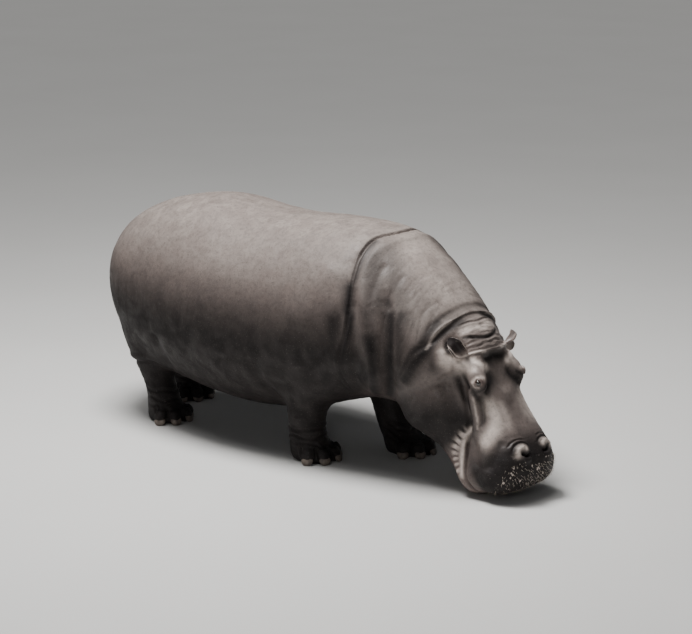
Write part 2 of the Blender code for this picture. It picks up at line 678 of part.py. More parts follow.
def main():
    clear_scene()
    parts, cutters = collection("Hippopotamus"), collection("Cutters")
    body = fuse(flesh_volumes())
    sculpt(body)
    eyes = list(eye_places(body))
    lids(body, eyes)
    thin_out(body)
    ground = half_space("ground", (0, 0, 0), (0, 0, -1))
    carve(body, ground, "DIFFERENCE")
    keep_cutter(ground, cutters)
    pieces = []

    for name, centre, way in eyes:
        bed = ball("eye bed", centre, [EYE_RADIUS + FIT_GAP] * 3, None, EYE_SEGMENTS)
        carve(body, bed, "DIFFERENCE")
        keep_cutter(bed, cutters)
        eye = ball("eye", centre, [EYE_RADIUS] * 3, None, EYE_SEGMENTS)
        pieces.append((eye, "eye_" + name, "eye"))
    for name in EAR_WAYS:
        pieces.append((root_cut(ear_solid(name), body), "ear_" + name, "ear"))
    pieces.append((root_cut(tail_solid(), body), "tail", "tail"))

    for leg_name, front, side, foot, top in feet():
        (behind, before), (inner, outer), height = FRONT_LEG_BOX if front else HIND_LEG_BOX
        across = sorted((side * inner, side * outer))
        middle = (foot[0] + top[0]) / 2
        low = (middle + behind, across[0], -BOX_DROP)
        high = (middle + before, across[1], height)
        leg = split(body, "leg", block("leg box", low, high), cutters)
        low = (middle - BOX_SPARE, across[0] - BOX_SPARE, -BOX_DROP)
        high = (middle + BOX_SPARE, across[1] + BOX_SPARE, ANKLE_HEIGHT)
        sole = split(leg, "foot", block("foot box", low, high), cutters)
        for number, (place, angle) in enumerate(toe_places(foot, front), 1):
            bed = nail_solid(place, angle, FIT_GAP)
            carve(sole, bed, "DIFFERENCE")
            keep_cutter(bed, cutters)
            pieces.append((nail_solid(place, angle), f"nail_{leg_name}_{number}", "nail"))
        pieces += [(leg, "leg_" + leg_name, "leg"), (sole, "foot_" + leg_name, "foot")]

    head = split(body, "head", half_space("head root", *HEAD_ROOT), cutters)
    point, way = MOUTH_PLANE
    below = half_space("mouth plane", in_head(*point), head_matrix().to_3x3() @ Vector(way))
    jaw = split(head, "jaw", below, cutters)
    neck = split(body, "neck", half_space("neck root", *NECK_ROOT), cutters)
    pieces += [(head, "head", "head"), (jaw, "jaw", "jaw"), (neck, "neck", "neck")]
    pieces.append((body, "trunk", "trunk"))

    corners = np.vstack([skin_arrays(obj)[0] for obj, _, _ in pieces])
    low, high = corners.min(axis=0), corners.max(axis=0)
    to_origin = Matrix.Translation((-(low[0] + high[0]) / 2, -(low[1] + high[1]) / 2, -low[2]))
    for obj, name, kind in pieces:
        obj.data.transform(to_origin)
        finish(obj, name, kind, parts)
    for tool in cutters.objects:
        tool.data.transform(to_origin)


main()
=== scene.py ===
import math

import bmesh
import bpy
import numpy as np
from mathutils import Matrix, Vector
from mathutils.bvhtree import BVHTree


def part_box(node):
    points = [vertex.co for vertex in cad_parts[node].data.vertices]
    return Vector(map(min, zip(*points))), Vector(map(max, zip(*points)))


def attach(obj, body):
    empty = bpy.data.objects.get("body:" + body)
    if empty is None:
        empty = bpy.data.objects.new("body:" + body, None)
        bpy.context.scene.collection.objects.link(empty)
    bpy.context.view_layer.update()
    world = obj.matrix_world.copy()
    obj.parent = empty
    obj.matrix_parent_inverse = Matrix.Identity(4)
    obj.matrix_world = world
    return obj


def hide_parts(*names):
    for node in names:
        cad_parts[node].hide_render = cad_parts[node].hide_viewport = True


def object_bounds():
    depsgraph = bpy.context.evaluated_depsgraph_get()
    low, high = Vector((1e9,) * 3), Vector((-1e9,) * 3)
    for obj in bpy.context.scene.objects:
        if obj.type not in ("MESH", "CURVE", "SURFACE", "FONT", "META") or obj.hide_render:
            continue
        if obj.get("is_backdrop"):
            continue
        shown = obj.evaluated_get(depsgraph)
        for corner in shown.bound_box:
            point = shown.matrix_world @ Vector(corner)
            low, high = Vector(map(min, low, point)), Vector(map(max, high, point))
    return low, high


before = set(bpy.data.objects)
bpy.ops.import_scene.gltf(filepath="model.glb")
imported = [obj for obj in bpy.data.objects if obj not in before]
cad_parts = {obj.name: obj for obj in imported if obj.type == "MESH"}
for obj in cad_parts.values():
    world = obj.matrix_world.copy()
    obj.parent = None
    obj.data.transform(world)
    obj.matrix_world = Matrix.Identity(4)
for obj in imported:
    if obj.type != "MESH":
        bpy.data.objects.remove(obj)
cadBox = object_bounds()

# Body space has the stance's middle at its origin, X forward and Z up. Head space runs X down the
# face from the poll, Y to the animal's left and Z out of the forehead.
space = {
    "bodyOrigin": Vector((-0.493, 0.0007, 0.0)),
    "poll": Vector((1.327, 0.0007, 0.869)),
    "facePitch": 56,  # degrees below the horizontal
}
headToModel = Matrix.Translation(space["poll"]) @ Matrix.Rotation(math.radians(space["facePitch"]), 4, "Y")
modelToHead = headToModel.inverted()
headTurn = headToModel.to_3x3()
sides = {"right": -1, "left": 1}


def inHead(point):
    return headToModel @ Vector(point)


def inBody(point):
    return space["bodyOrigin"] + Vector(point)


class Flow:
    # a number that runs through a material; Python's operators add its Math nodes
    def __init__(self, sheet, socket):
        self.sheet = sheet
        self.socket = socket

    def maths(self, kind, first, second):
        return self.sheet.add("ShaderNodeMath", {"operation": kind}, {0: first, 1: second})

    def __add__(self, other):
        return self.maths("ADD", self, other)

    def __radd__(self, other):
        return self.maths("ADD", other, self)

    def __sub__(self, other):
        return self.maths("SUBTRACT", self, other)

    def __rsub__(self, other):
        return self.maths("SUBTRACT", other, self)

    def __mul__(self, other):
        return self.maths("MULTIPLY", self, other)

    def __rmul__(self, other):
        return self.maths("MULTIPLY", other, self)


class Sheet:
    # one material and its node sheet
    def __init__(self, name):
        self.material = bpy.data.materials.new(name)
        self.material.use_nodes = True
        self.tree = self.material.node_tree

    def feed(self, socket, value):
        if isinstance(value, Flow):
            self.tree.links.new(value.socket, socket)
        else:
            socket.default_value = value

    def add(self, kind, settings=None, inputs=None, output=0):
        node = self.tree.nodes.new(kind)
        for key, value in (settings or {}).items():
            if key == "stops":
                for element, (place, shade) in zip(node.color_ramp.elements, value):
                    element.position = place
                    element.color = (shade, shade, shade, 1)
            else:
                setattr(node, key, value)
        for key, value in (inputs or {}).items():
            self.feed(node.inputs[key], value)
        return Flow(self, node.outputs[output])

    def place(self, stretch=(1, 1, 1)):
        spot = self.add("ShaderNodeTexCoord", None, None, "Object")
        return self.add("ShaderNodeMapping", None, {"Vector": spot, "Scale": stretch})

    def noise(self, scale, detail, stretch=(1, 1, 1), warp=0.0):
        inputs = {"Vector": self.place(stretch), "Scale": scale, "Detail": detail, "Distortion": warp}
        return self.add("ShaderNodeTexNoise", None, inputs)

    def cells(self, feature, scale):
        inputs = {"Vector": self.place(), "Scale": scale, "Randomness": 1.0}
        return self.add("ShaderNodeTexVoronoi", {"feature": feature}, inputs)

    def ramp(self, value, first, last):
        return self.add("ShaderNodeValToRGB", {"stops": (first, last)}, {"Fac": value})

    def clouds(self, low, high, *noise, warp=0.0):
        # soft patches: 0 where the noise is under low, 1 where it is over high
        return self.ramp(self.noise(*noise, warp=warp), (low, 0.0), (high, 1.0))

    def attribute(self, name):
        return self.add("ShaderNodeAttribute", {"attribute_name": name}, None, "Fac")

    def blend(self, amount, first, second):
        # a colour between two others, which are the node's inputs 6 and 7
        return self.add("ShaderNodeMix", {"data_type": "RGBA"}, {"Factor": amount, 6: first, 7: second}, 2)

    def bump(self, height, strength, depth):
        return self.add("ShaderNodeBump", None, {"Height": height, "Strength": strength, "Distance": depth})

    def finish(self, sockets):
        for name, value in sockets.items():
            self.feed(self.tree.nodes["Principled BSDF"].inputs[name], value)
        return self.material


def colour(red, green, blue):
    return (red, green, blue, 1.0)


def addObject(name, bm):
    mesh = bpy.data.meshes.new(name)
    bm.to_mesh(mesh)
    bm.free()
    piece = bpy.data.objects.new(name, mesh)
    bpy.context.scene.collection.objects.link(piece)
    return piece


def modify(piece, kind, **settings):
    # adds a modifier and applies it
    change = piece.modifiers.new(kind, kind)
    for key, value in settings.items():
        setattr(change, key, value)
    graph = bpy.context.evaluated_depsgraph_get()
    mesh = bpy.data.meshes.new_from_object(piece.evaluated_get(graph))
    piece.modifiers.clear()
    piece.data = mesh


def shadeSmooth(mesh):
    mesh.polygons.foreach_set("use_smooth", np.ones(len(mesh.polygons), bool))


def readRows(data, field):
    found = np.empty(len(data) * 3)
    data.foreach_get(field, found)
    return found.reshape(-1, 3)


def places(mesh):
    return readRows(mesh.vertices, "co")


def normals(mesh):
    return readRows(mesh.vertex_normals, "vector")


def setPlaces(mesh, spots):
    mesh.vertices.foreach_set("co", spots.ravel())
    mesh.update()


def headPlaces(spots):
    turn = np.array(modelToHead)
    return spots @ turn[:3, :3].T + turn[:3, 3]


def bodyPlaces(spots):
    return spots - np.array(space["bodyOrigin"])


def surfaceTree(mesh):
    return BVHTree.FromPolygons(places(mesh).tolist(), [list(face.vertices) for face in mesh.polygons])


def step(value, low, high):
    # rises smoothly from 0 at low to 1 at high
    share = np.clip((value - low) / (high - low), 0, 1)
    return share * share * (3 - 2 * share)


def rise(value, low, high):
    # the same for one number
    return float(step(np.array(value), low, high))


def swell(away, width):
    # a soft bell, 1 in the middle
    return np.exp(-((away / width) ** 2))


def curveThrough(points, gap):
    # a smooth run of points a set distance apart, through the given ones
    points = np.asarray(points, float)
    length = np.linalg.norm(np.diff(points, axis=0), axis=1).sum()
    along = np.linspace(0, len(points) - 1, max(int(length / gap), 4))
    first = np.clip(along.astype(int), 0, len(points) - 2)
    part = (along - first)[:, None]
    before, here = points[np.maximum(first - 1, 0)], points[first]
    there, after = points[first + 1], points[np.minimum(first + 2, len(points) - 1)]
    bend = 2 * before - 5 * here + 4 * there - after
    turn = 3 * here - before - 3 * there + after
    return 0.5 * (2 * here + (there - before) * part + bend * part**2 + turn * part**3)


class Lumps:
    # smooth random lumps through space, about one unit across, from -1 to 1
    size = 48

    def __init__(self, seed):
        self.grid = np.random.RandomState(seed).uniform(-1, 1, (self.size,) * 3)

    def at(self, spots):
        cell = np.floor(spots).astype(int)
        part = spots - cell
        part = part * part * (3 - 2 * part)
        total = np.zeros(len(spots))
        for corner in np.ndindex(2, 2, 2):
            index = (cell + corner) % self.size
            weight = np.prod(np.where(np.array(corner) == 1, part, 1 - part), axis=1)
            total += weight * self.grid[index[:, 0], index[:, 1], index[:, 2]]
        return total

    def lines(self, spots, row, sharpness=4):
        # thin grooves where the lumps change sign, from a depth, a fineness and a start
        depth, fineness, start = row
        return depth * np.clip(1 - sharpness * np.abs(self.at(spots * fineness + start)), 0, 1)


fleshNodes = ["trunk", "neck", "head", "jaw", "ear_right", "ear_left", "tail"]
thinNodes = fleshNodes[4:]
legNames = ["front_right", "front_left", "hind_right", "hind_left"]
fleshNodes += [kind + leg for leg in legNames for kind in ("leg_", "foot_")]
nailNodes = [f"nail_{leg}_{number}" for leg in legNames for number in (1, 2, 3, 4)]

skinShape = {
    "firstVoxel": 0.014,
    "bodyRounds": 60,  # evens out the facets of the trunk
    "headRounds": 7,
    "legRounds": 16,
    "footRounds": 4,
    "voxel": 0.009,
    "lastRounds": 3,
    "fineHead": -0.22,  # where the finer mesh of the head begins, in head space
    "fineReach": 0.065,  # and the finest, round each eye and nostril
    "nostril": (0.67, 0.10, 0.0),
    "trianglesKept": 196000,
}

# Each stroke: half width, depth (negative for a ridge), rim beside it, then its path. The paths
# are those of the right side, and the left side mirrors them.
bodyStrokes = {
    "shoulderHollow": [0.05, 0.01, 0, (1.07, -0.3, 1.37), (1.09, -0.4, 1.28), (1.115, -0.475, 1.11),
        (1.11, -0.505, 0.95), (1.07, -0.505, 0.8)],
    "shoulderCrease": [0.009, 0.02, 0.006, (1.165, 0, 1.485), (1.145, -0.1, 1.478), (1.11, -0.2, 1.445),
        (1.11, -0.31, 1.375), (1.13, -0.4, 1.28), (1.155, -0.475, 1.11), (1.15, -0.505, 0.95),
        (1.11, -0.505, 0.8), (1.06, -0.48, 0.66)],
    "shoulderRoll": [0.035, -0.01, 0, (1.225, 0, 1.455), (1.2, -0.14, 1.43), (1.175, -0.27, 1.37),
        (1.185, -0.37, 1.27), (1.205, -0.44, 1.1), (1.2, -0.48, 0.93)],
    "neckLineOne": [0.02, 0.006, 0, (1.27, -0.26, 1.33), (1.265, -0.34, 1.24), (1.27, -0.4, 1.1)],
    "neckLineTwo": [0.018, 0.005, 0, (1.37, -0.22, 1.27), (1.37, -0.31, 1.18), (1.38, -0.37, 1.06)],
    "brisketFold": [0.034, -0.017, 0, (1.203, -0.4, 1.25), (1.25, -0.448, 1.1), (1.293, -0.473, 0.932),
        (1.311, -0.466, 0.782), (1.273, -0.397, 0.609), (1.2, -0.28, 0.5)],
    "brisketHollow": [0.034, 0.018, 0, (1.165, -0.43, 1.19), (1.185, -0.485, 1.06), (1.195, -0.495, 0.94),
        (1.205, -0.495, 0.82), (1.18, -0.45, 0.67), (1.11, -0.32, 0.52)],
    "throatHollow": [0.042, 0.022, 0, (1.345, -0.34, 1.2), (1.385, -0.4, 1.02), (1.408, -0.42, 0.86),
        (1.402, -0.39, 0.7), (1.341, -0.294, 0.54)],
    "creaseBehindEar": [0.02, 0.008, 0, (1.708, 0, 1.044), (1.706, -0.1, 1.033), (1.706, -0.171, 1.006),
        (1.69, -0.242, 0.968), (1.668, -0.287, 0.93), (1.624, -0.343, 0.891), (1.575, -0.376, 0.853),
        (1.545, -0.39, 0.8)],
    "foldBehindEar": [0.008, -0.009, 0, (1.688, 0, 1.042), (1.688, -0.121, 1.031), (1.682, -0.157, 1.024),
        (1.672, -0.191, 1.011), (1.664, -0.228, 0.992), (1.655, -0.262, 0.967), (1.648, -0.288, 0.94),
        (1.642, -0.311, 0.913), (1.632, -0.335, 0.885)],
    "napeCrease": [0.014, 0.004, 0, (1.65, 0, 1.083), (1.645, -0.11, 1.065), (1.63, -0.196, 1.035),
        (1.612, -0.265, 0.995), (1.59, -0.316, 0.945)],
    "elbowFold": [0.05, 0.018, 0, (0.43, -0.6, 0.66), (0.455, -0.56, 0.52), (0.48, -0.47, 0.4),
        (0.52, -0.36, 0.31)],
    "elbowLine": [0.012, 0.007, 0, (0.42, -0.57, 0.55), (0.45, -0.5, 0.43), (0.5, -0.4, 0.34)],
    "flankFold": [0.05, 0.014, 0, (-0.46, -0.58, 0.68), (-0.44, -0.54, 0.52), (-0.47, -0.42, 0.38)],
    "hipBone": [0.12, -0.006, 0, (-0.98, -0.4, 1.22), (-0.9, -0.47, 1.1), (-0.86, -0.52, 0.98)],
    "hipHollow": [0.1, 0.006, 0, (-0.72, -0.36, 1.34), (-0.66, -0.47, 1.2), (-0.62, -0.55, 1.04)],
    "ribSwell": [0.12, -0.008, 0, (0.1, -0.44, 1.25), (0.06, -0.54, 1.08), (0.04, -0.6, 0.9)],
    "shoulderBlade": [0.09, -0.012, 0, (0.98, -0.36, 1.3), (0.9, -0.49, 1.1), (0.8, -0.56, 0.9)],
    "hockOverhang": [0.018, -0.009, 0, (-0.9, -0.24, 0.435), (-0.84, -0.36, 0.435), (-0.74, -0.405, 0.445),
        (-0.62, -0.39, 0.46), (-0.52, -0.32, 0.44)],
    "hockFold": [0.012, 0.012, 0, (-0.9, -0.22, 0.395), (-0.83, -0.345, 0.395), (-0.73, -0.385, 0.405),
        (-0.62, -0.365, 0.42), (-0.54, -0.3, 0.4)],
}
headStrokes = {
    "pollCreaseOne": [0.009, 0.007, 0.002, (-0.042, 0, 0.04), (-0.05, -0.058, 0.034), (-0.073, -0.12, 0.017),
        (-0.085, -0.16, -0.01)],
    "pollCreaseTwo": [0.006, 0.003, 0.001, (-0.01, 0, 0.05), (-0.018, -0.05, 0.05), (-0.002, -0.1, 0.04),
        (-0.012, -0.15, 0.01)],
    "pollCreaseThree": [0.007, 0.005, 0.002, (-0.155, 0, 0.03), (-0.165, -0.08, 0.02),
        (-0.16, -0.15, -0.01)],
    "browLine": [0.008, -0.006, 0, (0.036, 0, 0.04), (0.036, -0.073, 0.035), (0.024, -0.138, 0.009),
        (0.019, -0.174, -0.016), (0.018, -0.208, -0.045)],
    "browCrease": [0.02, 0.01, 0, (0.072, 0, 0.04), (0.075, -0.06, 0.03), (0.082, -0.1, 0.02)],
    "browRidge": [0.024, -0.01, 0, (0.12, -0.1, 0.03), (0.1, -0.15, 0.01), (0.06, -0.2, -0.05),
        (0.02, -0.23, -0.09)],
    "foreheadHollow": [0.05, 0.014, 0, (0.11, 0, 0.03), (0.2, 0, 0.01), (0.3, 0, -0.01)],
    "eyeFrontHollow": [0.026, 0.016, 0, (0.14, -0.085, 0.02), (0.2, -0.105, 0.01), (0.25, -0.135, 0),
        (0.285, -0.165, -0.02)],
    "eyeBackHollow": [0.022, 0.012, 0, (0.09, -0.235, -0.1), (0.15, -0.235, -0.095), (0.21, -0.225, -0.095)],
    "templeSwell": [0.036, -0.013, 0, (-0.07, -0.268, -0.085), (-0.035, -0.276, -0.1), (0, -0.274, -0.108),
        (0.035, -0.258, -0.1), (0.065, -0.238, -0.085)],
    "cheekGroove": [0.017, 0.02, 0, (0.13, -0.225, -0.1), (0.2, -0.21, -0.125), (0.3, -0.2, -0.165),
        (0.37, -0.19, -0.195), (0.42, -0.185, -0.24)],
    "cheekBone": [0.012, -0.009, 0, (0.24, -0.205, -0.086), (0.318, -0.202, -0.104), (0.375, -0.203, -0.124),
        (0.43, -0.208, -0.15)],
    "snoutGroove": [0.014, 0.014, 0, (0.255, -0.18, -0.055), (0.301, -0.172, -0.069), (0.346, -0.181, -0.08),
        (0.402, -0.196, -0.098), (0.44, -0.205, -0.13)],
    "snoutRidge": [0.034, -0.007, 0, (0.29, -0.14, -0.02), (0.38, -0.155, -0.035), (0.46, -0.175, -0.06),
        (0.52, -0.19, -0.11)],
    "snoutMiddle": [0.04, 0.008, 0, (0.38, 0, -0.01), (0.5, 0, -0.01), (0.62, 0, 0), (0.7, 0, 0)],
    "lipFold": [0.03, 0.01, 0, (0.56, -0.18, -0.03), (0.6, -0.215, -0.07), (0.645, -0.24, -0.12),
        (0.68, -0.25, -0.18)],
    "mouth": [0.01, 0.024, 0.005, (0.395, -0.18, -0.195), (0.435, -0.198, -0.236), (0.475, -0.213, -0.266),
        (0.52, -0.226, -0.29), (0.575, -0.24, -0.315), (0.64, -0.258, -0.345), (0.74, -0.245, -0.36),
        (0.79, -0.17, -0.345), (0.81, -0.08, -0.335), (0.815, 0, -0.33)],
    "lipBand": [0.026, -0.008, 0, (0.415, -0.195, -0.238), (0.45, -0.218, -0.29), (0.495, -0.235, -0.335),
        (0.55, -0.248, -0.365), (0.62, -0.25, -0.388), (0.68, -0.25, -0.395)],
    "nostrilBow": [0.006, 0.005, 0.002, (0.655, -0.172, -0.03), (0.63, -0.158, -0.015),
        (0.613, -0.135, -0.005), (0.608, -0.1, 0.005), (0.622, -0.06, 0.01), (0.645, -0.04, 0.01)],
    "nostrilBowTwo": [0.006, 0.004, 0.002, (0.615, -0.185, -0.04), (0.592, -0.15, -0.015), (0.588, -0.1, 0),
        (0.6, -0.055, 0.01)],
    "nostrilRoll": [0.018, -0.011, 0, (0.678, -0.15, -0.015), (0.652, -0.138, -0.005), (0.638, -0.11, 0.005),
        (0.645, -0.078, 0.01)],
    "nostrilFront": [0.016, -0.006, 0, (0.705, -0.13, -0.015), (0.722, -0.095, 0), (0.715, -0.06, 0.005)],
    "nostril": [0.009, 0.03, 0, (0.668, -0.122, 0), (0.682, -0.112, 0.006), (0.697, -0.094, 0.011),
        (0.697, -0.07, 0.013), (0.686, -0.056, 0.014)],
    "lipSwell": [0.06, -0.008, 0, (0.66, -0.23, -0.2), (0.73, -0.24, -0.24), (0.78, -0.19, -0.25)],
}
# The folded band of skin that runs back from the corner of the mouth, in head space.
lipShape = {
    "path": [(0.4, -0.185, -0.232), (0.425, -0.212, -0.278), (0.45, -0.233, -0.322), (0.485, -0.24, -0.358),
        (0.525, -0.246, -0.378), (0.57, -0.25, -0.388), (0.62, -0.253, -0.392)],
    "gap": 0.012,
    "width": 0.026,
    "folds": 8,
    "depth": 0.0045,
    "seed": 33,
}
# Toes, the gaps between them and rings of skin, for each leg.
legShape = {
    "feet": {"front_right": (0.66, -0.25), "front_left": (1.00, 0.25), "hind_right": (-0.66, -0.25),
        "hind_left": (-0.97, 0.25)},
    "toeAngles": (-62, -22, 22, 62),
    "gapAngles": (-84, -42, 0, 42, 84),
    "gapReach": (0.175, 0.165, 0.145, 0.120),
    "gapHeights": (0.0, 0.035, 0.070, 0.095),
    "gapStroke": (0.009, 0.012, 0.004, 0),  # half width, depth, rim, faded ends
    "toeReach": 0.116,  # from the middle of the foot
    "toeHeight": 0.046,
    "toeRadii": (0.062, 0.046, 0.055),
    "ankleHeights": (0.125, 0.165, 0.215),
    "ankleReach": 0.14,
    "ankleStroke": (0.009, 0.006, 0.003, 0.2),
}


def join(joined, part):
    mesh = bpy.data.meshes.new("part")
    part.to_mesh(mesh)
    part.free()
    joined.from_mesh(mesh)
    bpy.data.meshes.remove(mesh)


def mergedCopy(names):
    joined = bmesh.new()
    for name in names:
        one = bmesh.new()
        one.from_mesh(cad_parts[name].data)
        bmesh.ops.remove_doubles(one, verts=one.verts, dist=0.00001)
        join(joined, one)
    return addObject("skin", joined)


def relax(mesh, strength, rounds):
    # each point moves towards the middle of its neighbours, by its own share
    edges = np.empty(len(mesh.edges) * 2, np.int32)
    mesh.edges.foreach_get("vertices", edges)
    one, other = edges.reshape(-1, 2).T
    spots = places(mesh)
    total = len(spots)
    count = np.bincount(one, minlength=total) + np.bincount(other, minlength=total)
    for turn in range(rounds):
        share = np.clip(strength - turn, 0, 1)[:, None] * 0.6
        middle = np.empty_like(spots)
        for axis in range(3):
            sums = np.bincount(one, spots[other, axis], total) + np.bincount(other, spots[one, axis], total)
            middle[:, axis] = sums / count
        spots += (middle - spots) * share
    setPlaces(mesh, spots)


def relaxAll(mesh, rounds):
    relax(mesh, np.full(len(mesh.vertices), rounds), rounds)


def smoothRounds(mesh):
    # how many rounds of smoothing each part of the body gets
    spots = places(mesh)
    body, head = bodyPlaces(spots), headPlaces(spots)
    high = step(body[:, 2], 0.24, 0.50)
    rounds = skinShape["legRounds"] * (1 - high) + skinShape["bodyRounds"] * high
    rounds = np.where(body[:, 2] < 0.15, skinShape["footRounds"], rounds)
    onHead = step(head[:, 0], -0.30, -0.02)
    return rounds * (1 - onHead) + skinShape["headRounds"] * onHead


def layOn(tree, points):
    return np.array([tree.find_nearest(Vector(point))[0] for point in points])


def distanceTo(path, spots):
    nearest = np.full(len(spots), np.inf)
    share = np.zeros(len(spots))
    for index, (start, end) in enumerate(zip(path, path[1:])):
        run = end - start
        along = np.clip((spots - start) @ run / max(run @ run, 1e-12), 0, 1)
        away = np.linalg.norm(spots - (start + along[:, None] * run), axis=1)
        closer = away < nearest
        nearest[closer] = away[closer]
        share[closer] = (index + along[closer]) / (len(path) - 1)
    return nearest, share


def around(path, spots, reach):
    # the points near a path, their distances from it and their shares of the way along it
    middle = path.mean(axis=0)
    far = np.linalg.norm(path - middle, axis=1).max() + reach
    near = np.nonzero(np.linalg.norm(spots - middle, axis=1) < far)[0]
    return (near, *distanceTo(path, spots[near]))


def fadedEnds(share, fade):
    return np.clip(np.minimum(share, 1 - share) / fade, 0, 1) if fade else 1


def press(spots, ways, path, width, depth, rim, fade=0.16):
    near, away, share = around(path, spots, 4 * width)
    away /= width
    shift = rim * swell(away - 1.9, 1) - depth * swell(away, 1)
    spots[near] += ways[near] * (shift * fadedEnds(share, fade))[:, None]


def sidePaths(points, toModel):
    # the right side's path and its mirror, joined where the path meets the midline
    mirrored = [(x, -y, z) for x, y, z in points]
    if points[0][1] == 0:
        runs = [mirrored[:0:-1] + points]
    elif points[-1][1] == 0:
        runs = [points + mirrored[-2::-1]]
    else:
        runs = [points, mirrored]
    return [[toModel(point) for point in run] for run in runs]


def finer(mesh, chosen):
    # splits the edges between chosen points in two
    bm = bmesh.new()
    bm.from_mesh(mesh)
    bm.verts.ensure_lookup_table()
    edges = [edge for edge in bm.edges if chosen[edge.verts[0].index] and chosen[edge.verts[1].index]]
    bmesh.ops.subdivide_edges(bm, edges=edges, cuts=1, use_grid_fill=True)
    bmesh.ops.triangulate(bm, faces=[face for face in bm.faces if len(face.verts) > 4])
    bm.to_mesh(mesh)
    bm.free()


def eyeFrame(side):
    # an eye's centre, the way it looks, and its upper and forward directions
    low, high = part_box("eye_" + side)
    look = (headTurn @ Vector((0.10, sides[side] * 0.84, 0.53))).normalized()
    front = (headTurn @ Vector((1, 0, 0.15))).normalized()
    front = (front - look * front.dot(look)).normalized()
    return (low + high) / 2, look, look.cross(front) * -sides[side], front


eyeShape = {
    "radius": 0.024,
    "openLength": 0.0185,
    "openHeight": 0.0115,
    "lid": 0.0030,  # how far the lids stand off the ball
    "tuck": 0.0035,  # how far the skin lies under the ball where it shows
    # Edges and creases round the opening: height on the upper lid, on the lower, place and width,
    # in openings from the middle.
    "rings": [(0.0042, 0.0012, 1.30, 0.22), (-0.0045, -0.0045, 1.85, 0.20), (0.0050, 0.0, 2.5, 0.40),
        (0.0, 0.0025, 2.3, 0.22), (0.0, -0.0030, 2.8, 0.20)],
    "lidEnds": (2.4, 4.2),
    "cornea": 0.0022,
    "pupilLength": 0.0085,
    "pupilHeight": 0.0040,
    "irisEdge": 0.62,  # cosine of the angle from the middle of the gaze
}


def shapeLids(mesh):
    radius = eyeShape["radius"]
    for side in sides:
        centre, look, up, front = (np.array(part) for part in eyeFrame(side))
        spots = places(mesh)
        offset = spots - centre
        near = np.nonzero(np.linalg.norm(offset, axis=1) < 4 * radius)[0]
        offset = offset[near]
        reach = np.linalg.norm(offset, axis=1)
        ahead, high, fore = offset @ look, offset @ up, offset @ front
        high = high - 0.06 * fore + 2.0 * fore**2  # the opening bows upwards
        opening = np.sqrt((fore / eyeShape["openLength"]) ** 2 + (high / eyeShape["openHeight"]) ** 2)
        upper = step(high, -0.002, 0.006)
        wanted = np.where(opening < 1, radius - eyeShape["tuck"], radius + eyeShape["lid"])
        for onUpper, onLower, middle, width in eyeShape["rings"]:
            wanted += (onLower + (onUpper - onLower) * upper) * swell(opening - middle, width)
        hold = step(ahead, -0.4 * radius, 0.3 * radius) * (1 - step(opening, *eyeShape["lidEnds"]))
        moved = offset * (wanted / np.maximum(reach, 1e-6))[:, None]
        spots[near] += (moved - offset) * hold[:, None]
        setPlaces(mesh, spots)


# The ears and the tail are modelled alone, because they are too thin for the fused skin.
earShape = {
    "root": (0.020, 0.178, -0.042),  # in head space, on the left side
    "ways": {"right": (-0.85, -0.50, 0.155), "left": (-0.45, 0.885, 0.11)},
    "opening": 60,  # degrees that the hollow is turned down the face
    "length": 0.176,
    "sunk": 0.030,  # how much of it is inside the head
    "arc": 0.074,  # half width measured round the leaf
    "curl": 1.75,  # radians between the middle and an edge
    "thickness": 0.0078,
    "ribs": 0.0022,
    "tipBend": 0.016,
    "rimBluntness": 0.6,
}


def earBase(side):
    # an ear's root and the way it points
    forward, across, out = earShape["root"]
    return inHead((forward, sides[side] * across, out)), headTurn @ Vector(earShape["ways"][side])


def makeEar(side):
    root = earBase(side)[0]
    way = Vector(earShape["ways"][side]).normalized()
    down = (Vector((1, 0, 0)) - way * way.x).normalized()
    out = Vector((0, 0, 1)) - way * way.z
    out = (out - down * out.dot(down)).normalized()
    opening = math.radians(earShape["opening"])
    hollow = out * math.cos(opening) + down * math.sin(opening)
    across = way.cross(hollow)
    bm = bmesh.new()
    bmesh.ops.create_uvsphere(bm, u_segments=56, v_segments=40, radius=1)
    for vert in bm.verts:
        wide, thick, along = vert.co
        thick = math.copysign(abs(thick) ** earShape["rimBluntness"], thick)
        share = (along + 1) / 2  # from the root to the tip
        blade = rise(share, 0.10, 0.48)
        tip = rise(share, 0.72, 1.0)
        arc = earShape["arc"] * (0.42 + 0.58 * blade) * (1 - 0.10 * tip)
        angle = wide * earShape["curl"] * (1.0 - 0.30 * tip)
        radius = arc / earShape["curl"]
        ribs = earShape["ribs"] * math.sin(wide * 9) * blade * (1 - tip)  # only in the hollow
        body = earShape["thickness"] * (2.6 - 1.6 * blade) * (1 - 0.35 * tip)
        radial = radius - thick * body + (ribs if thick > 0 else 0)
        depth = radius - math.cos(angle) * radial - earShape["tipBend"] * tip * share
        sideways = math.sin(angle) * radial
        spot = way * (share * earShape["length"] - earShape["sunk"]) + across * sideways + hollow * depth
        vert.co = root + headTurn @ spot
    bmesh.ops.recalc_face_normals(bm, faces=bm.faces)
    return bm


tailShape = {
    # forward, up, half width, half thickness: from inside the rump to the tip
    "rows": [(-1.02, 1.05, 0.05, 0.045), (-1.12, 1.035, 0.052, 0.046), (-1.18, 1.005, 0.047, 0.038),
        (-1.215, 0.95, 0.038, 0.027), (-1.232, 0.86, 0.031, 0.019), (-1.232, 0.77, 0.026, 0.014),
        (-1.222, 0.69, 0.017, 0.01)],
    "root": (-1.175, 0, 0.99),
}


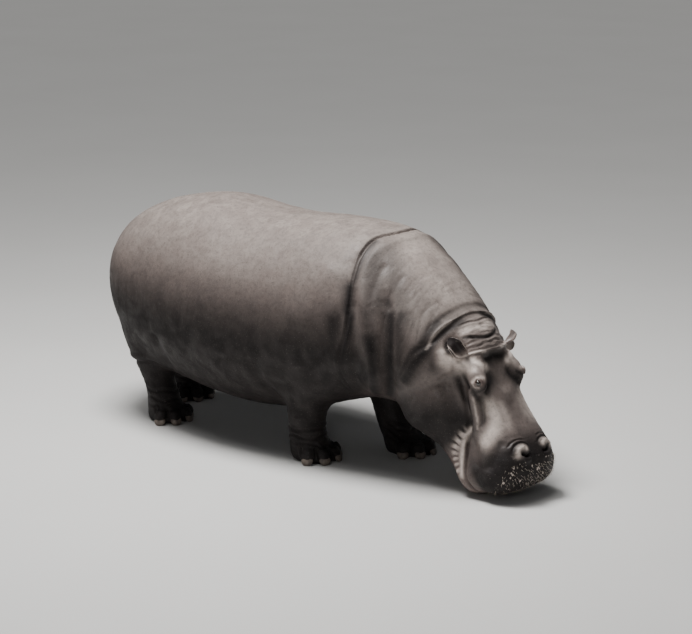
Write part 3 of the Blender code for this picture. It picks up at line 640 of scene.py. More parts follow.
def makeTail():
    bm = bmesh.new()
    bmesh.ops.create_uvsphere(bm, u_segments=32, v_segments=44, radius=1)
    rows = np.array(tailShape["rows"])
    for vert in bm.verts:
        share = (1 - vert.co.z) / 2
        place = share * (len(rows) - 1)
        row = min(int(place), len(rows) - 2)
        forward, height, wide, thick = rows[row] + (rows[row + 1] - rows[row]) * (place - row)
        run = Vector((rows[row + 1][0] - rows[row][0], 0, rows[row + 1][1] - rows[row][1])).normalized()
        back = run.cross(Vector((0, 1, 0)))
        ring = math.sqrt(max(1 - vert.co.z**2, 1e-9))
        blunt = min(1.0, 3.2 * math.sqrt(max(1 - share, 0)), 3.2 * math.sqrt(share))
        creaseShade = 1 + 0.05 * math.sin(share * 95) * rise(share, 0.2, 0.4)
        spot = Vector((forward, 0, height)) + Vector((0, 1, 0)) * (vert.co.x / ring * wide * blunt)
        vert.co = inBody(spot + back * (vert.co.y / ring * thick * blunt * creaseShade))
    bmesh.ops.recalc_face_normals(bm, faces=bm.faces)
    return bm


def addToes(skin):
    bm = bmesh.new()
    for forward, across in legShape["feet"].values():
        for angle in legShape["toeAngles"]:
            turn = Matrix.Rotation(math.radians(angle), 4, "Z")
            spot = turn @ Vector((legShape["toeReach"], 0, legShape["toeHeight"]))
            matrix = Matrix.Translation(inBody((forward, across, 0)) + spot) @ turn
            matrix @= Matrix.Diagonal((*legShape["toeRadii"], 1))
            bmesh.ops.create_uvsphere(bm, u_segments=32, v_segments=24, radius=1, matrix=matrix)
    bm.from_mesh(skin.data)
    bm.to_mesh(skin.data)
    bm.free()


def addThinParts(skin):
    joined = bmesh.new()
    for part in (makeEar("right"), makeEar("left"), makeTail()):
        join(joined, part)
    tool = addObject("thinParts", joined)
    modify(skin, "BOOLEAN", operation="UNION", solver="EXACT", object=tool)
    bpy.data.objects.remove(tool)
    modify(skin, "TRIANGULATE")
    spots = places(skin.data)
    strength = np.zeros(len(spots))
    roots = [inBody(tailShape["root"])]
    for side in sides:
        root, way = earBase(side)
        roots.append(root + way * 0.012)
    rounds = 9
    for root in roots:
        away = np.linalg.norm(spots - np.array(root), axis=1)
        strength = np.maximum(strength, rounds * (1 - step(away, 0.030, 0.060)))
    relax(skin.data, strength, rounds)


def flatWay(angle):
    return Vector((math.cos(math.radians(angle)), math.sin(math.radians(angle)), 0))


def shapeLegs(spots, ways, tree):
    # gaps between the toes, and rings of slack skin above the feet
    for forward, across in legShape["feet"].values():
        centre = inBody((forward, across, 0))
        for angle in legShape["gapAngles"]:
            points = [centre + flatWay(angle) * reach + Vector((0, 0, height))
                for reach, height in zip(legShape["gapReach"], legShape["gapHeights"])]
            path = layOn(tree, curveThrough(points, 0.006))
            path[:, 2] = np.linspace(0, legShape["gapHeights"][-1], len(path))
            press(spots, ways, path, *legShape["gapStroke"])
        for number, height in enumerate(legShape["ankleHeights"]):
            points = []
            for angle in np.linspace(-150, 150, 25):
                wave = 0.008 * math.sin(angle * 0.07 + number * 2)
                lean = Vector((-0.03 * number, 0, height + wave))
                points.append(centre + flatWay(angle) * legShape["ankleReach"] + lean)
            path = layOn(tree, curveThrough(points, 0.008))
            press(spots, ways, path, *legShape["ankleStroke"])


def lipBands(spots, tree):
    # for each side's folded band: the points near it, how much each one belongs to it, and its
    # place in the folds from -1 to 1
    for run in sidePaths(lipShape["path"], inHead):
        path = layOn(tree, curveThrough(run, lipShape["gap"]))
        near, away, share = around(path, spots, 0.1)
        lumps = Lumps(lipShape["seed"]).at(headPlaces(spots[near]) * 30)
        band = fadedEnds(share, 0.08) * swell(away, lipShape["width"])
        yield near, band, np.sin(2 * math.pi * (lipShape["folds"] * share + 0.12 * lumps))


# Unevenness of the skin. Lumps: height, fineness, start in the noise, and how much of it the head
# loses. Lines: depth, fineness, start in the noise.
roughness = {
    "seed": 7,
    "lumps": [(0.0050, 3.1, 0, 1.0), (0.0022, 9.0, 5, 0.5), (0.0009, 27.0, 9, 0.0)],
    "neckLines": (0.0030, (34.0, 5.0, 5.0), 3),
    "legRings": (0.0022, (7.0, 7.0, 42.0), 11),
    "flankFolds": (0.0012, (22.0, 9.0, 9.0), 17),
    "headSeed": 21,
    "pollWave": 0.0016,
    "pollWaveLength": 0.027,
    "pollDents": (0.0026, (46.0, 22.0, 22.0), 13),
    "snoutLines": (0.0009, (40.0, 12.0, 12.0), 19),
}


def roughen(mesh):
    # the body's soft unevenness, and wrinkles that run with each part of it
    lumps = Lumps(roughness["seed"])
    spots, ways = places(mesh), normals(mesh)
    body, head = bodyPlaces(spots), headPlaces(spots)
    onHead = step(head[:, 0], -0.25, 0.0)
    onLeg = 1 - step(body[:, 2], 0.28, 0.50)
    neck = step(body[:, 0], 0.75, 1.15) * (1 - onHead)
    flank = (1 - onHead) * (1 - neck) * (1 - onLeg)
    shift = np.zeros(len(spots))
    for height, fineness, start, lost in roughness["lumps"]:
        shift += height * lumps.at(body * fineness + start) * (1 - lost * onHead)
    shift -= lumps.lines(body, roughness["neckLines"]) * neck * (1 - 0.5 * step(body[:, 2], 1.0, 1.4))
    shift -= lumps.lines(body, roughness["legRings"]) * onLeg
    shift -= lumps.lines(body, roughness["flankFolds"]) * flank
    spots += ways * shift[:, None]
    setPlaces(mesh, spots)


def pollWrinkles(mesh):
    # wavy skin between the ears, and fine lines across the snout
    lumps = Lumps(roughness["headSeed"])
    spots, ways = places(mesh), normals(mesh)
    head = headPlaces(spots)
    between = swell(head[:, 0] + 0.02, 0.09) * (1 - step(np.abs(head[:, 1]), 0.13, 0.20))
    between *= step(head[:, 2], -0.06, 0.0)
    wave = head[:, 0] + 0.012 * lumps.at(head * 11) + 0.005 * lumps.at(head * 31 + 4)
    wave = np.sin(wave * 2 * math.pi / roughness["pollWaveLength"])
    snout = step(head[:, 0], 0.25, 0.45) * step(head[:, 2], -0.20, -0.08)
    shift = roughness["pollWave"] * between * wave
    shift -= lumps.lines(head, roughness["pollDents"], 3.5) * between
    shift -= lumps.lines(head, roughness["snoutLines"]) * snout
    spots += ways * shift[:, None]
    setPlaces(mesh, spots)


def fuseSkin():
    skin = mergedCopy([name for name in fleshNodes if name not in thinNodes] + ["eye_right", "eye_left"])
    modify(skin, "REMESH", mode="VOXEL", voxel_size=skinShape["firstVoxel"])
    relax(skin.data, smoothRounds(skin.data), skinShape["bodyRounds"])
    addToes(skin)
    modify(skin, "REMESH", mode="VOXEL", voxel_size=skinShape["voxel"])
    relaxAll(skin.data, skinShape["lastRounds"])
    tree = surfaceTree(skin.data)
    addThinParts(skin)
    print("ears and tail joined")
    finer(skin.data, headPlaces(places(skin.data))[:, 0] > skinShape["fineHead"])
    spots = places(skin.data)
    close = np.zeros(len(spots), bool)
    forward, across, out = skinShape["nostril"]
    for side, sign in sides.items():
        for centre in (eyeFrame(side)[0], inHead((forward, sign * across, out))):
            close |= np.linalg.norm(spots - np.array(centre), axis=1) < skinShape["fineReach"]
    finer(skin.data, close)
    print("skin fused:", len(skin.data.vertices), "points")
    return skin, tree


def sculptSkin(skin, tree):
    # returns the strokes' paths, which the creases' colour follows
    paths = []
    mesh = skin.data
    spots, ways = places(mesh), normals(mesh)
    for strokes, toModel in ((bodyStrokes, inBody), (headStrokes, inHead)):
        for name, (width, depth, rim, *points) in strokes.items():
            for run in sidePaths(points, toModel):
                path = layOn(tree, curveThrough(run, width * 0.8))
                paths.append((name, width, path))
                press(spots, ways, path, width, depth, rim)
    shapeLegs(spots, ways, tree)
    for near, band, folds in lipBands(spots, tree):
        spots[near] += ways[near] * (lipShape["depth"] * band * folds)[:, None]
    setPlaces(mesh, spots)
    pollWrinkles(mesh)
    roughen(mesh)
    shapeLids(mesh)
    relaxAll(mesh, 1)
    spots = places(mesh)
    spots[:, 2] = np.maximum(spots[:, 2], 0)
    setPlaces(mesh, spots)
    modify(skin, "TRIANGULATE")
    share = skinShape["trianglesKept"] / len(skin.data.polygons)
    if share < 1:
        modify(skin, "DECIMATE", ratio=share)
    shadeSmooth(skin.data)
    print("skin sculpted:", len(skin.data.polygons), "triangles")
    return paths


def paintMask(mesh, name, values):
    layer = mesh.attributes.new(name, "FLOAT", "POINT")
    layer.data.foreach_set("value", np.clip(values, 0, 1).astype(np.float32))


# Soft painted highlights and painted shade along paths of the right side, mirrored on the left:
# half width, strength, then the path. Those of the head are in head space.
headLightAndShade = {
    # painted highlights on the skin below the ears, the brows and lids, the poll, the snout's ridge, the
    # cheekbone, the lip's edge and the nostrils
    "paintedLight": [
        [0.036, 1, (-0.06, -0.262, -0.082), (-0.03, -0.268, -0.098), (-0.002, -0.27, -0.11),
            (0.02, -0.26, -0.105)],
        [0.02, 0.8, (-0.06, -0.262, -0.055), (-0.04, -0.272, -0.05)],
        [0.04, 1, (-0.03, -0.262, -0.09), (0, -0.25, -0.085), (0.027, -0.232, -0.073),
            (0.06, -0.215, -0.06)],
        [0.032, 1, (0.035, -0.225, -0.07), (0.071, -0.2, -0.04), (0.108, -0.185, -0.008)],
        [0.022, 1, (0.06, -0.165, -0.005), (0.1, -0.15, 0.012), (0.122, -0.125, 0.012),
            (0.122, -0.102, 0.012)],
        [0.011, 0.85, (0.182, -0.218, -0.032), (0.17, -0.208, -0.008), (0.172, -0.19, 0.012),
            (0.186, -0.172, 0.024)],
        [0.006, 0.6, (0.198, -0.22, -0.036), (0.216, -0.216, -0.03), (0.228, -0.206, -0.016)],
        [0.008, 0.75, (0.018, -0.208, -0.045), (0.019, -0.174, -0.016), (0.024, -0.138, 0.009),
            (0.036, -0.073, 0.035)],
        [0.024, 0.65, (-0.115, -0.14, -0.005), (-0.125, -0.088, 0.022), (-0.12, -0.044, 0.033),
            (-0.1, 0, 0.04)],
        [0.042, 1, (0.335, -0.15, -0.043), (0.384, -0.145, -0.041), (0.434, -0.15, -0.041),
            (0.481, -0.178, -0.06), (0.508, -0.207, -0.1), (0.518, -0.215, -0.125)],
        [0.035, 0.4, (0.36, -0.1, -0.02), (0.42, -0.09, -0.02), (0.48, -0.11, -0.02)],
        [0.008, 0.45, (0.265, -0.205, -0.088), (0.318, -0.202, -0.104), (0.375, -0.203, -0.124),
            (0.43, -0.208, -0.15)],
        [0.015, 1, (0.405, -0.188, -0.222), (0.435, -0.203, -0.262), (0.472, -0.218, -0.298),
            (0.52, -0.232, -0.325), (0.575, -0.245, -0.35), (0.63, -0.252, -0.378)],
        [0.018, 1, (0.67, -0.142, -0.012), (0.648, -0.132, 0), (0.64, -0.105, 0.006), (0.648, -0.08, 0.01)],
    ],
    # painted shade in hollows and grooves, round the eyes and on the lower cheeks
    "paintedShade": [
        [0.042, 1, (0.074, 0, 0.02), (0.082, -0.05, 0.02), (0.094, -0.082, 0.02)],
        [0.022, 1, (0.12, -0.212, -0.08), (0.152, -0.21, -0.09), (0.19, -0.208, -0.09)],
        [0.028, 0.6, (-0.08, -0.315, -0.148), (-0.04, -0.315, -0.165), (0, -0.308, -0.178)],
        [0.01, 0.8, (-0.014, -0.215, -0.05), (0.01, -0.228, -0.062)],
        [0.014, 0.9, (-0.042, 0, 0.04), (-0.05, -0.058, 0.034), (-0.073, -0.12, 0.017), (-0.085, -0.15, 0)],
        [0.042, 1, (0.19, -0.085, 0.005), (0.228, -0.115, 0.005), (0.262, -0.15, -0.01),
            (0.295, -0.172, -0.04)],
        [0.017, 0.9, (0.205, -0.13, 0.02), (0.23, -0.16, 0.02), (0.246, -0.182, 0.003),
            (0.246, -0.197, -0.028), (0.236, -0.205, -0.058)],
        [0.024, 0.95, (0.225, -0.205, -0.062), (0.266, -0.19, -0.066), (0.3, -0.172, -0.066)],
        [0.026, 0.85, (0.13, -0.235, -0.11), (0.2, -0.215, -0.13), (0.27, -0.2, -0.15),
            (0.33, -0.203, -0.16), (0.38, -0.2, -0.175)],
        [0.014, 0.9, (0.301, -0.17, -0.069), (0.346, -0.181, -0.078), (0.402, -0.196, -0.095)],
        [0.038, 0.8, (0.57, -0.205, -0.055), (0.61, -0.225, -0.08), (0.66, -0.24, -0.12),
            (0.69, -0.25, -0.17)],
        [0.085, 0.95, (0.28, -0.3, -0.4), (0.31, -0.28, -0.34), (0.36, -0.25, -0.3), (0.39, -0.25, -0.385)],
        [0.05, 0.6, (0.28, -0.24, -0.26), (0.34, -0.225, -0.23)],
    ],
}
bodyLightAndShade = {
    # painted highlight on the edge of the fold behind the ear, and painted light with pale dust on the top
    # of the neck
    "paintedLight": [
        [0.007, 0.75, (1.686, -0.157, 1.024), (1.676, -0.191, 1.011), (1.67, -0.228, 0.992),
            (1.661, -0.262, 0.967), (1.653, -0.288, 0.94), (1.648, -0.311, 0.913), (1.64, -0.335, 0.885)],
        [0.11, 0.3, (1.28, -0.05, 1.41), (1.36, -0.09, 1.345), (1.44, -0.075, 1.28), (1.53, -0.065, 1.2),
            (1.6, -0.055, 1.135)],
    ],
    # painted shade in the creases and hollows of the shoulder, brisket, throat and nape
    "paintedShade": [
        [0.05, 1, (1.135, -0.44, 1.19), (1.152, -0.47, 1.08), (1.16, -0.49, 0.98), (1.15, -0.5, 0.88),
            (1.12, -0.49, 0.76), (1.076, -0.42, 0.6)],
        [0.09, 0.95, (1.06, -0.5, 0.98), (1.06, -0.5, 0.84), (1.05, -0.49, 0.7), (1, -0.45, 0.5)],
        [0.04, 0.7, (1.37, -0.365, 1.12), (1.389, -0.38, 1.07)],
        [0.085, 0.6, (1.215, -0.3, 1.36), (1.25, -0.36, 1.27), (1.28, -0.4, 1.18), (1.3, -0.42, 1.1)],
        [0.08, 0.45, (1.24, -0.2, 1.39), (1.32, -0.26, 1.3), (1.38, -0.31, 1.19)],
        [0.07, 0.4, (1.34, -0.29, 1.24), (1.39, -0.31, 1.16), (1.44, -0.33, 1.08), (1.49, -0.34, 1)],
        [0.034, 0.85, (1.12, -0.22, 1.44), (1.12, -0.31, 1.375), (1.135, -0.4, 1.28), (1.14, -0.44, 1.19)],
        [0.058, 1, (1.398, -0.385, 1.05), (1.409, -0.391, 1.02), (1.42, -0.404, 0.94), (1.423, -0.408, 0.85),
            (1.415, -0.402, 0.75), (1.39, -0.37, 0.65), (1.332, -0.3, 0.54)],
        [0.08, 1, (1.32, -0.474, 0.9), (1.335, -0.465, 0.78), (1.31, -0.43, 0.66), (1.24, -0.32, 0.53)],
        [0.06, 0.6, (1.28, -0.458, 1.06), (1.3, -0.468, 0.98)],
        [0.05, 1, (1.655, -0.312, 0.905), (1.62, -0.347, 0.843), (1.568, -0.375, 0.767),
            (1.51, -0.375, 0.67)],
        [0.06, 0.8, (1.47, -0.36, 1.05), (1.46, -0.39, 0.99), (1.49, -0.4, 0.88), (1.48, -0.41, 0.76),
            (1.44, -0.38, 0.62)],
        [0.034, 0.9, (1.712, -0.1, 1.03), (1.706, -0.171, 1.006), (1.69, -0.242, 0.968),
            (1.668, -0.287, 0.93), (1.624, -0.343, 0.891), (1.575, -0.376, 0.853), (1.53, -0.39, 0.78),
            (1.49, -0.4, 0.7)],
        [0.022, 0.65, (1.66, 0, 1.085), (1.645, -0.12, 1.06), (1.628, -0.2, 1.03)],
        [0.034, 0.85, (1.635, -0.22, 1.02), (1.625, -0.28, 0.97), (1.6, -0.33, 0.91)],
    ],
}
# How strongly the creases hold their painted shade.
creaseShadeMarks = {"shoulderCrease": 1, "creaseBehindEar": 0.5, "cheekGroove": 0.6, "snoutGroove": 0.6,
    "mouth": 1, "nostril": 1, "nostrilBow": 0.7, "elbowLine": 0.6, "flankFold": 0.2, "browCrease": 0.5,
    "hockFold": 0.7, "pollCreaseOne": 0.6, "pollCreaseTwo": 0.4, "napeCrease": 0.4}
# Where the larger areas of colour start and end: painted shade on the lower flank, the jowls and the
# muzzle's front, painted light and pale dust on the back, pink, and painted shade and highlights on the
# ears.
skinAreas = {
    # the painted shade of the lower flank fades out over these heights
    "lowFlank": (0.75, 1.20),  # height
    "neckDrop": 0.75,  # how steeply that line falls along the neck
    "neckStart": 1.15,
    "neckLength": 0.60,
    "jowl": (0.16, 0.48),
    "jowlDepth": (0.12, 0.22),
    "jowlEnd": (0.40, 0.50),
    "muzzle": (0.51, 0.65),
    "muzzleTop": (-0.33, -0.28),
    # how dark the painted shade gets
    "deepestShade": 0.98,
    # the back's upward faces, made paler: pale dust and painted light from above
    "dustyLitBack": (0.8, 1.3),
    "bristly": (0.70, 0.75),
    "bristlyTop": (-0.20, -0.12),
    "eyePink": 0.034,
    "earPink": 0.085,
    "earReach": (0.060, 0.085),
    "earFacing": {"right": (0.46, -0.59, 0.66), "left": (0.46, 0.10, 0.66)},
    # painted shade on the ears' backs and painted highlights on their rims
    "earBackShade": 0.80,
    "earRimLight": {"right": 0.95, "left": 0.30},
}


def markOver(values, near, mark):
    values[near] = np.maximum(values[near], mark)


# painted shade along the creases
def paintCreaseShade(spots, paths):
    creases = np.zeros(len(spots))
    for name, width, path in paths:
        if name in creaseShadeMarks:
            near, away, share = around(path, spots, 4 * width)
            fade = fadedEnds(share, 0.12 if name != "nostril" else 0)
            markOver(creases, near, creaseShadeMarks[name] * fade * swell(away, 1.15 * width))
    return creases


def paintLightAndShade(spots, tree):
    # painted highlights and painted shade along the tables' paths, and on the lip's folds
    marks = {"paintedLight": np.zeros(len(spots)), "paintedShade": np.zeros(len(spots))}
    for table, toModel in ((headLightAndShade, inHead), (bodyLightAndShade, inBody)):
        for kind, rows in table.items():
            for width, strength, *points in rows:
                for run in sidePaths(points, toModel):
                    path = layOn(tree, curveThrough(run, width * 0.7))
                    near, away, share = around(path, spots, 4 * width)
                    markOver(marks[kind], near, strength * swell(away, width))
    # painted highlights on the tops of the lip's folds
    for near, band, folds in lipBands(spots, tree):
        markOver(marks["paintedLight"], near, 0.85 * band * step(folds, -0.7, 0.6))
    return marks


def paintedShadeAreas(height, head, onHead):
    # painted shade on the lower flank and the legs, the jowls, and the front of the muzzle
    low = (1 - step(height, *skinAreas["lowFlank"])) * (1 - onHead)
    forward, out = head[:, 0], head[:, 2]
    jowl = step(forward - 0.6 * out, *skinAreas["jowl"]) * step(-out, *skinAreas["jowlDepth"])
    jowl *= 1 - step(forward, *skinAreas["jowlEnd"])
    front = step(forward, *skinAreas["muzzle"]) * step(out, *skinAreas["muzzleTop"])
    return skinAreas["deepestShade"] * np.maximum(np.maximum(low, jowl), front)


def paintEars(spots, ways, head, marks):
    # painted shade on the backs and painted highlights on the rims go into the marks; the pink and the
    # painted shade of the hollows are given back
    pink, inside = np.zeros(len(spots)), np.zeros(len(spots))
    for side in sides:
        low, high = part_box("ear_" + side)
        away = np.linalg.norm(spots - np.array((low + high) / 2), axis=1)
        pink += 0.5 * swell(away, skinAreas["earPink"])
        way = headTurn @ Vector(skinAreas["earFacing"][side])
        facing = step(ways @ np.array(way.normalized()), 0.1, 0.8)
        onEar = (1 - step(away, *skinAreas["earReach"])) * (1 - step(head[:, 0], -0.03, 0.02))
        # painted shade inside the ear's hollow
        inside += step(facing, 0.30, 0.90) * onEar
        edge = step(facing, 0.0, 0.20) * (1 - step(facing, 0.45, 0.85))
        # painted shade on the ear's back and painted highlights on its rim
        marks["paintedShade"] = np.maximum(marks["paintedShade"], skinAreas["earBackShade"] * onEar * (1 - facing))
        marks["paintedLight"] = np.maximum(marks["paintedLight"], skinAreas["earRimLight"][side] * onEar * edge)
    return pink, inside


def paintSkin(skin, paths):
    mesh = skin.data
    spots, ways = places(mesh), normals(mesh)
    body, head = bodyPlaces(spots), headPlaces(spots)
    onHead = step(head[:, 0], -0.15, 0.05)
    alongNeck = np.clip(body[:, 0] - skinAreas["neckStart"], 0, skinAreas["neckLength"])
    height = body[:, 2] + skinAreas["neckDrop"] * alongNeck
    marks = paintLightAndShade(spots, surfaceTree(mesh))
    marks["paintedShade"] = np.maximum(marks["paintedShade"], paintedShadeAreas(height, head, onHead))
    pink, inside = paintEars(spots, ways, head, marks)
    for side in sides:
        away = np.linalg.norm(spots - np.array(eyeFrame(side)[0]), axis=1)
        pink += 0.60 * swell(away, skinAreas["eyePink"])
    underneath = step(-ways[:, 2], 0.2, 0.9) * (1 - step(body[:, 2], 0.45, 0.85))
    lips = swell(head[:, 0] - 0.58, 0.20) * swell(head[:, 2] + 0.40, 0.05)
    # painted highlights clear the painted shade under them
    marks["paintedShade"] *= 1 - 0.95 * np.clip(marks["paintedLight"], 0, 1)
    masks = {
        # painted shade in the creases
        "creaseShade": paintCreaseShade(spots, paths),
        # painted light and pale dust on the upward faces of the back
        "dustAndTopLight": step(ways[:, 2], 0.0, 0.9) * step(height, *skinAreas["dustyLitBack"]),
        "bristly": step(head[:, 0], *skinAreas["bristly"]) * step(head[:, 2], *skinAreas["bristlyTop"]),
        "pink": pink + 0.10 * underneath + 0.5 * lips,
        # painted shade in the ear hollows
        "earHollowShade": inside,
        # painted shade
        "paintedShade": marks["paintedShade"],
        # painted highlights
        "paintedLight": marks["paintedLight"],
        "wet": (0.15 + 0.70 * onHead) * (1 - 0.90 * marks["paintedShade"]),
    }
    for name, values in masks.items():
        paintMask(mesh, name, values)


skinFinish = {
    "hide": colour(0.150, 0.120, 0.108),
    "hideDeep": colour(0.088, 0.070, 0.065),
    "hidePink": colour(0.250, 0.140, 0.115),
    # pale specks and follicle dots, and the painted highlights
    "hidePaleAndLight": colour(0.640, 0.550, 0.490),
    # dark flecks and blotches, and the painted shade
    "hideDarkAndShade": colour(0.010, 0.008, 0.008),
    # pale dust, also the painted light on the back's top
    "paleDustAndLight": colour(0.245, 0.210, 0.186),
    # painted shade in the creases and the ear hollows
    "creaseShade": colour(0.012, 0.009, 0.009),
    "roughness": 0.46,
    "wetness": 0.36,
    "sheen": 0.18,
    "coatRoughness": 0.30,
    "bumpStrength": 0.60,
    "bumpDepth": 0.004,
}


def skinMaterial():
    sheet = Sheet("hippopotamusHide")
    patches = sheet.clouds(0.35, 0.68, 1.7, 5)
    mottle = sheet.clouds(0.36, 0.64, 11.0, 6, warp=0.4)
    streaks = sheet.clouds(0.40, 0.66, 5.0, 5, (2.2, 2.2, 0.5))
    blotches = sheet.clouds(0.46, 0.66, 42.0, 4, warp=0.3)
    specks = sheet.clouds(0.66, 0.74, 150.0, 1)
    darkSpecks = sheet.clouds(0.60, 0.70, 95.0, 2, (1.1, 0.9, 1))
    follicles = sheet.cells("F1", 40.0) + 0.5 - sheet.noise(22.0, 2)
    dots = sheet.ramp(follicles, (0.10, 1.0), (0.22, 0.0)) * sheet.attribute("bristly")
    paintedShade, wet = sheet.attribute("paintedShade"), sheet.attribute("wet")
    # From the hide outwards: each layer's amount and colour.
    layers = [
        # painted light and pale dust on the back's top
        (sheet.attribute("dustAndTopLight") * (0.18 + 0.38 * mottle + 0.34 * patches), "paleDustAndLight"),
        (sheet.attribute("pink") * (0.25 + 0.45 * mottle), "hidePink"),
        # painted shade
        (paintedShade * (0.94 + 0.06 * mottle), "hideDarkAndShade"),
        # painted highlights
        (sheet.attribute("paintedLight") * (0.70 + 0.28 * mottle), "hidePaleAndLight"),
        (specks * 0.07, "hidePaleAndLight"),
        (darkSpecks * 0.25 + blotches * 0.18, "hideDarkAndShade"),
        # painted shade in the ear hollows
        (sheet.attribute("earHollowShade") * 0.95, "creaseShade"),
        # painted shade in the creases
        (sheet.attribute("creaseShade") * 0.88, "creaseShade"),
        (dots * 0.80, "hidePaleAndLight"),
    ]
    depth = patches * 0.40 + mottle * 0.35 + streaks * 0.25
    base = sheet.blend(depth, skinFinish["hide"], skinFinish["hideDeep"])
    for amount, shade in layers:
        base = sheet.blend(amount, base, skinFinish[shade])
    cracks = sheet.ramp(sheet.cells("DISTANCE_TO_EDGE", 58.0), (0.0, 0.0), (0.12, 1.0))
    grain = sheet.noise(240.0, 2)
    folds = sheet.noise(34.0, 5, (1.6, 0.8, 0.8), 1.0)
    height = cracks * 0.07 + grain * 0.25 + folds * 0.9 + dots * 0.5
    return sheet.finish({
        "Base Color": base,
        "Roughness": skinFinish["roughness"] + 0.20 * mottle - 0.14 * wet + 0.10 * paintedShade,
        "Specular IOR Level": skinFinish["sheen"],
        "Coat Weight": wet * skinFinish["wetness"],
        "Coat Roughness": skinFinish["coatRoughness"],
        "Normal": sheet.bump(height, skinFinish["bumpStrength"], skinFinish["bumpDepth"]),
    })


eyeFinish = {
    "iris": colour(0.040, 0.020, 0.010),
    "pupil": colour(0.004, 0.003, 0.003),
    "white": colour(0.070, 0.045, 0.036),
}


def makeEye(side):
    centre, look, up, front = eyeFrame(side)
    radius = eyeShape["radius"]
    bm = bmesh.new()
    bmesh.ops.create_uvsphere(bm, u_segments=48, v_segments=32, radius=radius)
    turn = look.to_track_quat("Z", "Y").to_matrix().to_4x4()
    for vert in bm.verts:
        vert.co *= 1 + eyeShape["cornea"] / radius * rise(vert.co.z / radius, 0.75, 0.98)
    bm.transform(Matrix.Translation(centre) @ turn)
    eye = addObject("eyeball_" + side, bm)
    shadeSmooth(eye.data)
    offset = places(eye.data) - np.array(centre)
    gaze = offset @ np.array(look) / np.linalg.norm(offset, axis=1)
    wide, tall = offset @ np.array(front), offset @ np.array(up)
    slit = np.sqrt((wide / eyeShape["pupilLength"]) ** 2 + (tall / eyeShape["pupilHeight"]) ** 2)
    paintMask(eye.data, "iris", step(gaze, eyeShape["irisEdge"] - 0.03, eyeShape["irisEdge"] + 0.03))
    paintMask(eye.data, "pupil", 1 - step(slit, 0.85, 1.15))
    return eye


def eyeMaterial():
    sheet = Sheet("wetEye")
    iris = sheet.blend(sheet.noise(420.0, 3), eyeFinish["iris"], eyeFinish["pupil"])
    base = sheet.blend(sheet.attribute("iris"), eyeFinish["white"], iris)
    base = sheet.blend(sheet.attribute("pupil"), base, eyeFinish["pupil"])
    return sheet.finish({"Base Color": base, "Roughness": 0.12, "Coat Weight": 1.0, "Coat Roughness": 0.03})


nailShape = {
    "half": (0.020, 0.034, 0.034),  # thickness, width, height
    "outward": 0.002,
    "height": 0.028,
    "floorGap": 0.002,
    "lean": 0.010,  # back towards the toe at its top
    "narrowing": 0.22,  # where it leaves the skin
}
nailFinish = {"horn": colour(0.180, 0.144, 0.118), "worn": colour(0.080, 0.062, 0.052)}


def makeNail(name):
    low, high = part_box(name)
    centre = (low + high) / 2
    angle = legShape["toeAngles"][int(name[-1]) - 1]
    thick, wide, tall = nailShape["half"]
    bm = bmesh.new()
    bmesh.ops.create_uvsphere(bm, u_segments=36, v_segments=28, radius=1)
    for vert in bm.verts:
        x, y, z = vert.co
        arch = 1 - nailShape["narrowing"] * rise(z, 0.2, 1.0)
        lines = 1 + 0.012 * math.sin(z * 26) * (1 - y * y)
        ridge = 1 - 0.16 * abs(y) ** 3
        forward = x * thick * lines * ridge - nailShape["lean"] * z
        vert.co = (forward, y * wide * arch * (1 + 0.10 * (1 - abs(z))), z * tall)
    bmesh.ops.rotate(bm, verts=bm.verts, cent=(0, 0, 0), matrix=Matrix.Rotation(math.radians(angle), 3, "Z"))
    place = Vector((centre.x, centre.y, nailShape["height"])) + flatWay(angle) * nailShape["outward"]
    bmesh.ops.translate(bm, verts=bm.verts, vec=place)
    nail = addObject(name.replace("nail", "hoofNail"), bm)
    for vert in nail.data.vertices:
        vert.co.z = max(vert.co.z, nailShape["floorGap"])
    shadeSmooth(nail.data)
    return nail


def nailMaterial():
    sheet = Sheet("hoofHorn")
    stain = sheet.noise(28.0, 4)
    base = sheet.blend(sheet.ramp(stain, (0.38, 0.0), (0.62, 1.0)), nailFinish["horn"], nailFinish["worn"])
    bump = sheet.bump(sheet.noise(70.0, 4, (1, 1, 3)), 0.5, 0.002)
    return sheet.finish({"Base Color": base, "Roughness": 0.40 + 0.18 * stain, "Normal": bump})


bristleShape = {
    "seed": 11,
    # how many tufts, and the least gap between them
    "counts": {"lip": (130, 0.015), "lowerLip": (60, 0.026), "chin": (26, 0.030), "ear": (130, 0.005),
        "tail": (70, 0.005)},
    # hairs of a tuft, their length, radius and splay, and how much they follow the skin's normal
    "tufts": {"lip": (2, 0.017, 0.0010, 0.35, 1.0), "chin": (2, 0.016, 0.0010, 0.40, 1.0),
        "ear": (1, 0.012, 0.0004, 0.50, 0.5), "tail": (1, 0.034, 0.0006, 0.12, 0.45)},
    "patch": 0.0024,  # the side of a tuft's patch on the unwrap
}
bristleFinish = {"root": colour(0.34, 0.28, 0.23), "tip": colour(0.62, 0.54, 0.46)}


def unwrapPlace(spot):
    # a place on the skin unrolled round the body's length, or round the head's
    head = modelToHead @ spot
    if head.x > -0.25:
        turn = math.atan2(head.y, head.z + 0.22) / (2 * math.pi)
        return Vector((0.25 + 0.46 * turn, 0.05 + 0.88 * (head.x + 0.25) / 1.15))
    turn = math.atan2(spot.y, spot.z - 0.80) / (2 * math.pi)
    return Vector((0.75 + 0.46 * turn, 0.05 + 0.88 * (spot.x + 1.76) / 3.2))


